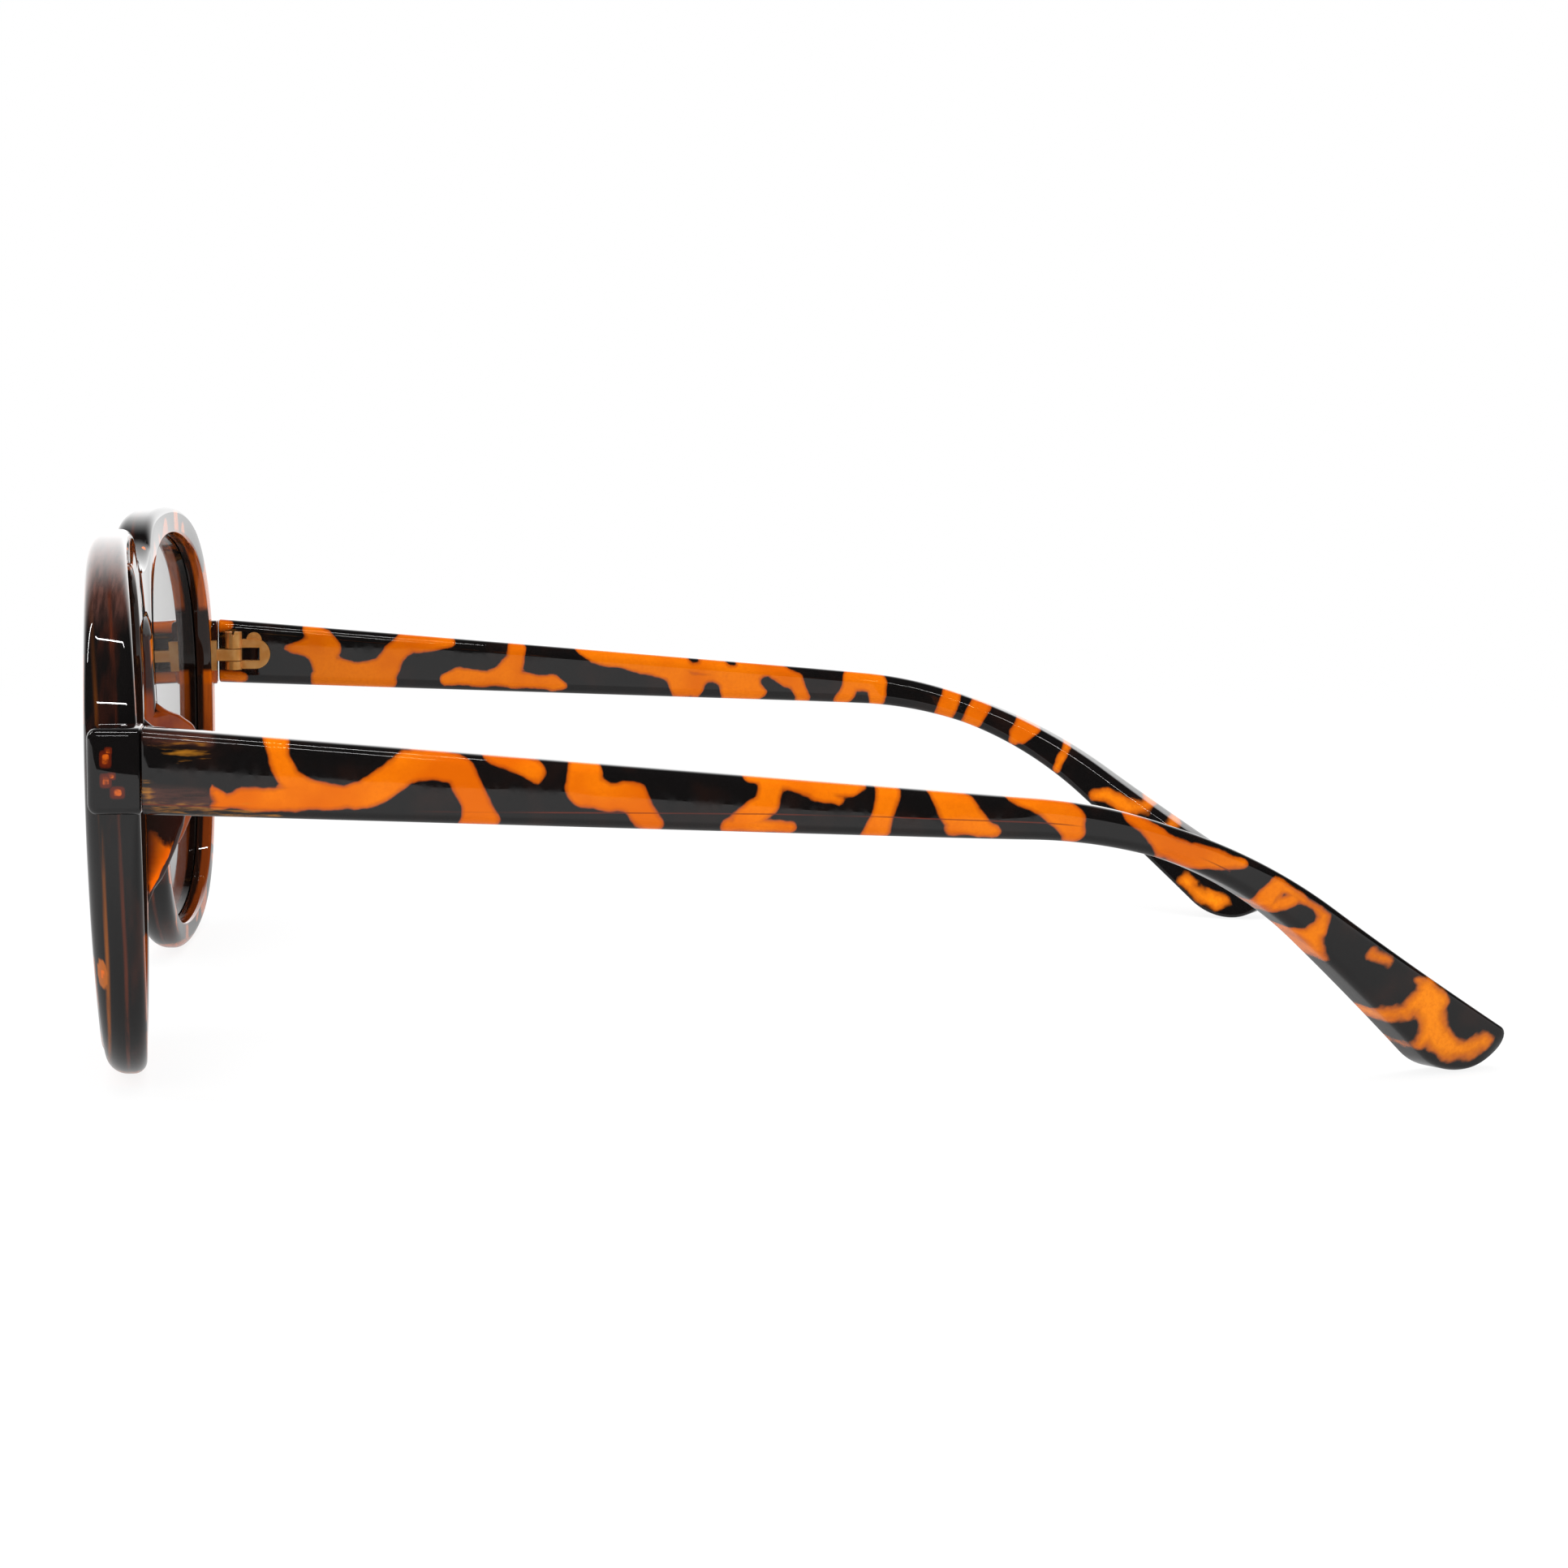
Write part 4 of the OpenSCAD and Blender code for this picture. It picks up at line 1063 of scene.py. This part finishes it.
def white_floor():
    """Shaded floor, nearly even white to the camera and through glass, and bright in reflections but
    for a painted shadow close to the glasses.
    """
    net = Net("floor_white")
    net.feed("Base Color", (FLOOR_SHADE, FLOOR_SHADE, FLOOR_SHADE, 1))
    net.feed("Roughness", FLOOR_ROUGH)
    net.feed("Specular IOR Level", FLOOR_SHINE)
    length = net.node("VectorMath", Vector=net.where)
    length.operation = "LENGTH"
    away = length.outputs["Value"]
    seen = net.between(away, FADE_FROM, FADE_TO, SEEN_NEAR, SEEN_FAR)
    gloss = net.between(net.along("X"), GLOSS_FROM, GLOSS_TO, GLOSS_NEAR, GLOSS_FAR)
    # Painted shadow: the floor shows darker in reflections close to the glasses.
    gloss = net.times(gloss, net.between(away, DIM_FROM, DIM_TO, DIM_GLOSS, 1.0))
    surface = net.shader.outputs[0]
    for kinds, share, strength in ((SEEN_DIRECTLY, seen, 1.0), (REFLECTED, 1.0, gloss)):
        glow = net.node("Emission", Color=WHITE, Strength=strength)
        factor = net.times(light_path(net.nodes, net.links, kinds), share)
        surface = blended(net.nodes, net.links, factor, surface, glow.outputs[0])
    net.links.new(surface, net.nodes["Material Output"].inputs["Surface"])
    return net.material


def floor():
    mesh = bpy.data.meshes.new("floor")
    corners = [(FLOOR_FROM, -FLOOR_HALF, 0), (FLOOR_EDGE + FLOOR_SLANT * FLOOR_HALF, -FLOOR_HALF, 0),
               (FLOOR_EDGE - FLOOR_SLANT * FLOOR_HALF, FLOOR_HALF, 0), (FLOOR_FROM, FLOOR_HALF, 0)]
    mesh.from_pydata(corners, [], [(0, 1, 2, 3)])
    obj = linked("floor", mesh)
    mesh.materials.append(white_floor())


def studio():
    """White for the camera, soft even light for the object, white on the -X side in reflections."""
    world = bpy.data.worlds.new("studio")
    world.use_nodes = True
    scene.world = world
    nodes, links = world.node_tree.nodes, world.node_tree.links
    nodes.clear()

    def background(strength):
        n = nodes.new("ShaderNodeBackground")
        n.inputs["Color"].default_value = WHITE
        put(links, n.inputs["Strength"], strength)
        return n.outputs[0]

    coord = nodes.new("ShaderNodeTexCoord")
    split = nodes.new("ShaderNodeSeparateXYZ")
    links.new(coord.outputs["Generated"], split.inputs[0])
    tent = nodes.new("ShaderNodeMapRange")
    tent.interpolation_type = "SMOOTHSTEP"
    for end, value in (("From Min", TENT_FROM), ("From Max", TENT_TO), ("To Min", TENT_DARK),
                       ("To Max", TENT_WHITE)):
        tent.inputs[end].default_value = value
    links.new(split.outputs["X"], tent.inputs["Value"])
    mixed = background(AROUND)
    for kinds, strength in ((REFLECTED, tent.outputs[0]), (SEEN_DIRECTLY, 1.0)):
        mixed = blended(nodes, links, light_path(nodes, links, kinds), mixed, background(strength))
    out = nodes.new("ShaderNodeOutputWorld")
    links.new(mixed, out.inputs[0])


def lamp(name, lamp_at, aim, size, power, reflected):
    data = bpy.data.lights.new(name, "AREA")
    data.shape = "RECTANGLE"
    data.size, data.size_y = size
    data.energy = power
    obj = linked(name, data)
    aimed = (Vector(aim) - Vector(lamp_at)).to_track_quat("-Z", "Y").to_matrix().to_4x4()
    obj.matrix_world = Matrix.Translation(lamp_at) @ aimed
    obj.visible_camera = False
    obj.visible_transmission = False
    obj.visible_glossy = reflected


floor()
studio()
for name, values in LAMPS.items():
    lamp(name, *values)
